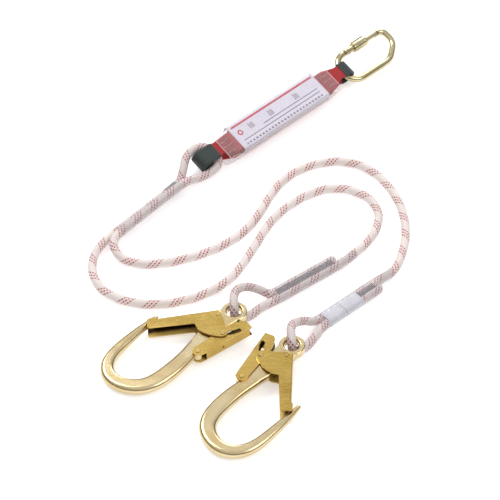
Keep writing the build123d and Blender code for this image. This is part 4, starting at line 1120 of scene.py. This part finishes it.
for k, (A, X, Y, Z) in ((1, (A1, X1, Y1, Z1)), (2, (A2, X2, Y2, Z2))):
    back = -0.507 * X + 0.862 * Y          # from the gate's open side to its back
    # the inner faces of each gate and lever channel get painted shade that deepens away from the open edge
    M[f"gate_inside_painted_shade_{k}"] = channel(f"gate_inside_painted_shade_{k}", A, back, -2.5, 2.5)
    M[f"lever_inside_painted_shade_{k}"] = channel(f"lever_inside_painted_shade_{k}", A, -X, -56.0, -48.0)
    paint(f"hook_{k}_body", "forged_gold")
    for part in ("gate", "lever"):
        paint(f"hook_{k}_{part}", "sheet_gold")
    eased(f"hook_{k}_gate", 0.65, "sheet_gold", f"hook_{k}_gate", f"gate_inside_painted_shade_{k}", inner_face(A, Z, -back, 8.0))
    eased(f"hook_{k}_lever", 0.6, "sheet_gold", f"hook_{k}_lever", f"lever_inside_painted_shade_{k}", inner_face(A, Z, Y, 6.0))
    for part in ("gate_rivet", "lock_pin", "lever_rivet"):
        paint(f"hook_{k}_{part}", "rivet_steel")
    for part in ("gate_spring", "lever_spring"):
        paint(f"hook_{k}_{part}", "spring_steel")
    # pressed rim of the lock pin's slot, on both cheeks of the lever
    centres = np.array([lock_pin_in_lever(f) for f in np.linspace(-0.06, 1.06, 9)])
    d = np.gradient(centres, axis=0)
    d /= np.linalg.norm(d, axis=1)[:, None]
    nn = np.stack([-d[:, 1], d[:, 0]], 1)
    r = 3.25
    start_a, end_a = atan2(nn[0, 1], nn[0, 0]), atan2(nn[-1, 1], nn[-1, 0])
    line = [c + q * r for c, q in zip(centres, nn)]
    line += [centres[-1] + r * np.array([cos(end_a - x), sin(end_a - x)]) for x in np.linspace(0, pi, 9)[1:-1]]
    line += [c - q * r for c, q in zip(centres[::-1], nn[::-1])]
    line += [centres[0] + r * np.array([cos(start_a - pi - x), sin(start_a - pi - x)]) for x in np.linspace(0, pi, 9)[1:-1]]
    line = np.array(line + line[:1])
    rims = []
    for side in (1, -1):
        pts = np.array([A + p[0] * X + p[1] * Y + side * 7.62 * Z for p in line]) * MM
        rims.append(tube_along("rim%d%d" % (k, side), pts, 0.34 * MM, 8, first=Z))
    rim = join(f"hook_{k}_slot_rim", rims)
    dress(rim, "sheet_gold", body=f"hook_{k}_lever")
paint("karabiner_body", "karabiner_gold")
paint("karabiner_gate", "karabiner_gold")
paint("karabiner_screw_sleeve", "karabiner_gold")
for part in ("gate_rivet", "nose_pin", "gate_spring", "spring_plunger"):
    paint(f"karabiner_{part}", "spring_steel")

# knurled screw sleeve
axis_v = 1.8 + 23.5
along = np.concatenate([[-8.0, -7.7], np.arange(-7.2, 16.3, 0.42), [16.7, 17.0]])
rings = []
sides = 84
for q, x in enumerate(along):
    base = 8.15
    knurl = 1.0
    if x < -6.8 or x > 15.8:
        base, knurl = 7.7, 0.0
    if -4.0 < x < -2.6 or 11.6 < x < 13.0:
        base, knurl = 7.35, 0.0
    if 3.8 < x < 5.2:
        base, knurl = 7.5, 0.0
    ring = []
    for j in range(sides):
        a = 2 * pi * j / sides
        cut = min(abs(((a * 21 / (2 * pi) + x / 1.68) % 1.0) - 0.5), abs(((a * 21 / (2 * pi) - x / 1.68) % 1.0) - 0.5))
        rr = base - knurl * 0.38 * max(0.0, 1 - cut / 0.16)
        ring.append(K(189.8 + x, axis_v + rr * cos(a), rr * sin(a)))
    rings.append(ring)
inner_rings = [[K(189.8 + x, axis_v + 5.15 * cos(2 * pi * j / sides), 5.15 * sin(2 * pi * j / sides)) for j in range(sides)] for x in along[::-1]]
P = np.concatenate([np.array(rings), np.array(inner_rings)], 0)
sleeve = grid_object("knurled_sleeve", P, around=True, ring=True, caps=False)
dress(sleeve, "karabiner_gold", body="screw_sleeve", replaces=("karabiner_screw_sleeve",))

# ------------------------------------------------------------------ floor, light, sky
floor_mesh = bpy.data.meshes.new("floor")
q = 8.0
floor_mesh.from_pydata([(-q, -q, -0.0004), (q, -q, -0.0004), (q, q, -0.0004), (-q, q, -0.0004)], [], [(0, 1, 2, 3)])
floor = bpy.data.objects.new("floor", floor_mesh)
scene.collection.objects.link(floor)
fm, nt, b = new_material("floor_paper")
b.inputs["Base Color"].default_value = (0.86, 0.86, 0.86, 1)
b.inputs["Roughness"].default_value = 0.9
b.inputs["Emission Color"].default_value = (1, 1, 1, 1)
b.inputs["Emission Strength"].default_value = 0.42
floor_mesh.materials.append(fm)

world = bpy.data.worlds.new("world")
scene.world = world
world.use_nodes = True
wn = world.node_tree
bg = wn.nodes["Background"]
tc = wn.nodes.new("ShaderNodeTexCoord")
sep = wn.nodes.new("ShaderNodeSeparateXYZ")
wn.links.new(tc.outputs["Generated"], sep.inputs[0])
rmp = wn.nodes.new("ShaderNodeValToRGB")
wn.links.new(sep.outputs[2], rmp.inputs[0])
e = rmp.color_ramp.elements
e[0].position, e[0].color = 0.05, (0.13, 0.125, 0.12, 1)
e[1].position, e[1].color = 0.80, (1.0, 1.0, 1.0, 1)
wn.links.new(rmp.outputs[0], bg.inputs[0])
bg.inputs[1].default_value = 0.80


def area(name, loc, size, power, look=(0, 0, 0), size_y=None, color=(1, 1, 1)):
    d = bpy.data.lights.new(name, "AREA")
    d.shape = "RECTANGLE"
    d.size, d.size_y = size, size_y or size
    d.energy = power
    d.color = color
    o = bpy.data.objects.new(name, d)
    scene.collection.objects.link(o)
    o.location = loc
    o.rotation_euler = (Vector(look) - Vector(loc)).to_track_quat("-Z", "Y").to_euler()
    return o


area("key", (-1.5, 1.3, 2.6), 1.5, 52)
area("fill", (1.9, -1.2, 2.2), 1.6, 24)
area("back", (0.5, 2.7, 1.7), 1.4, 26)
scene.view_settings.view_transform = "Standard"
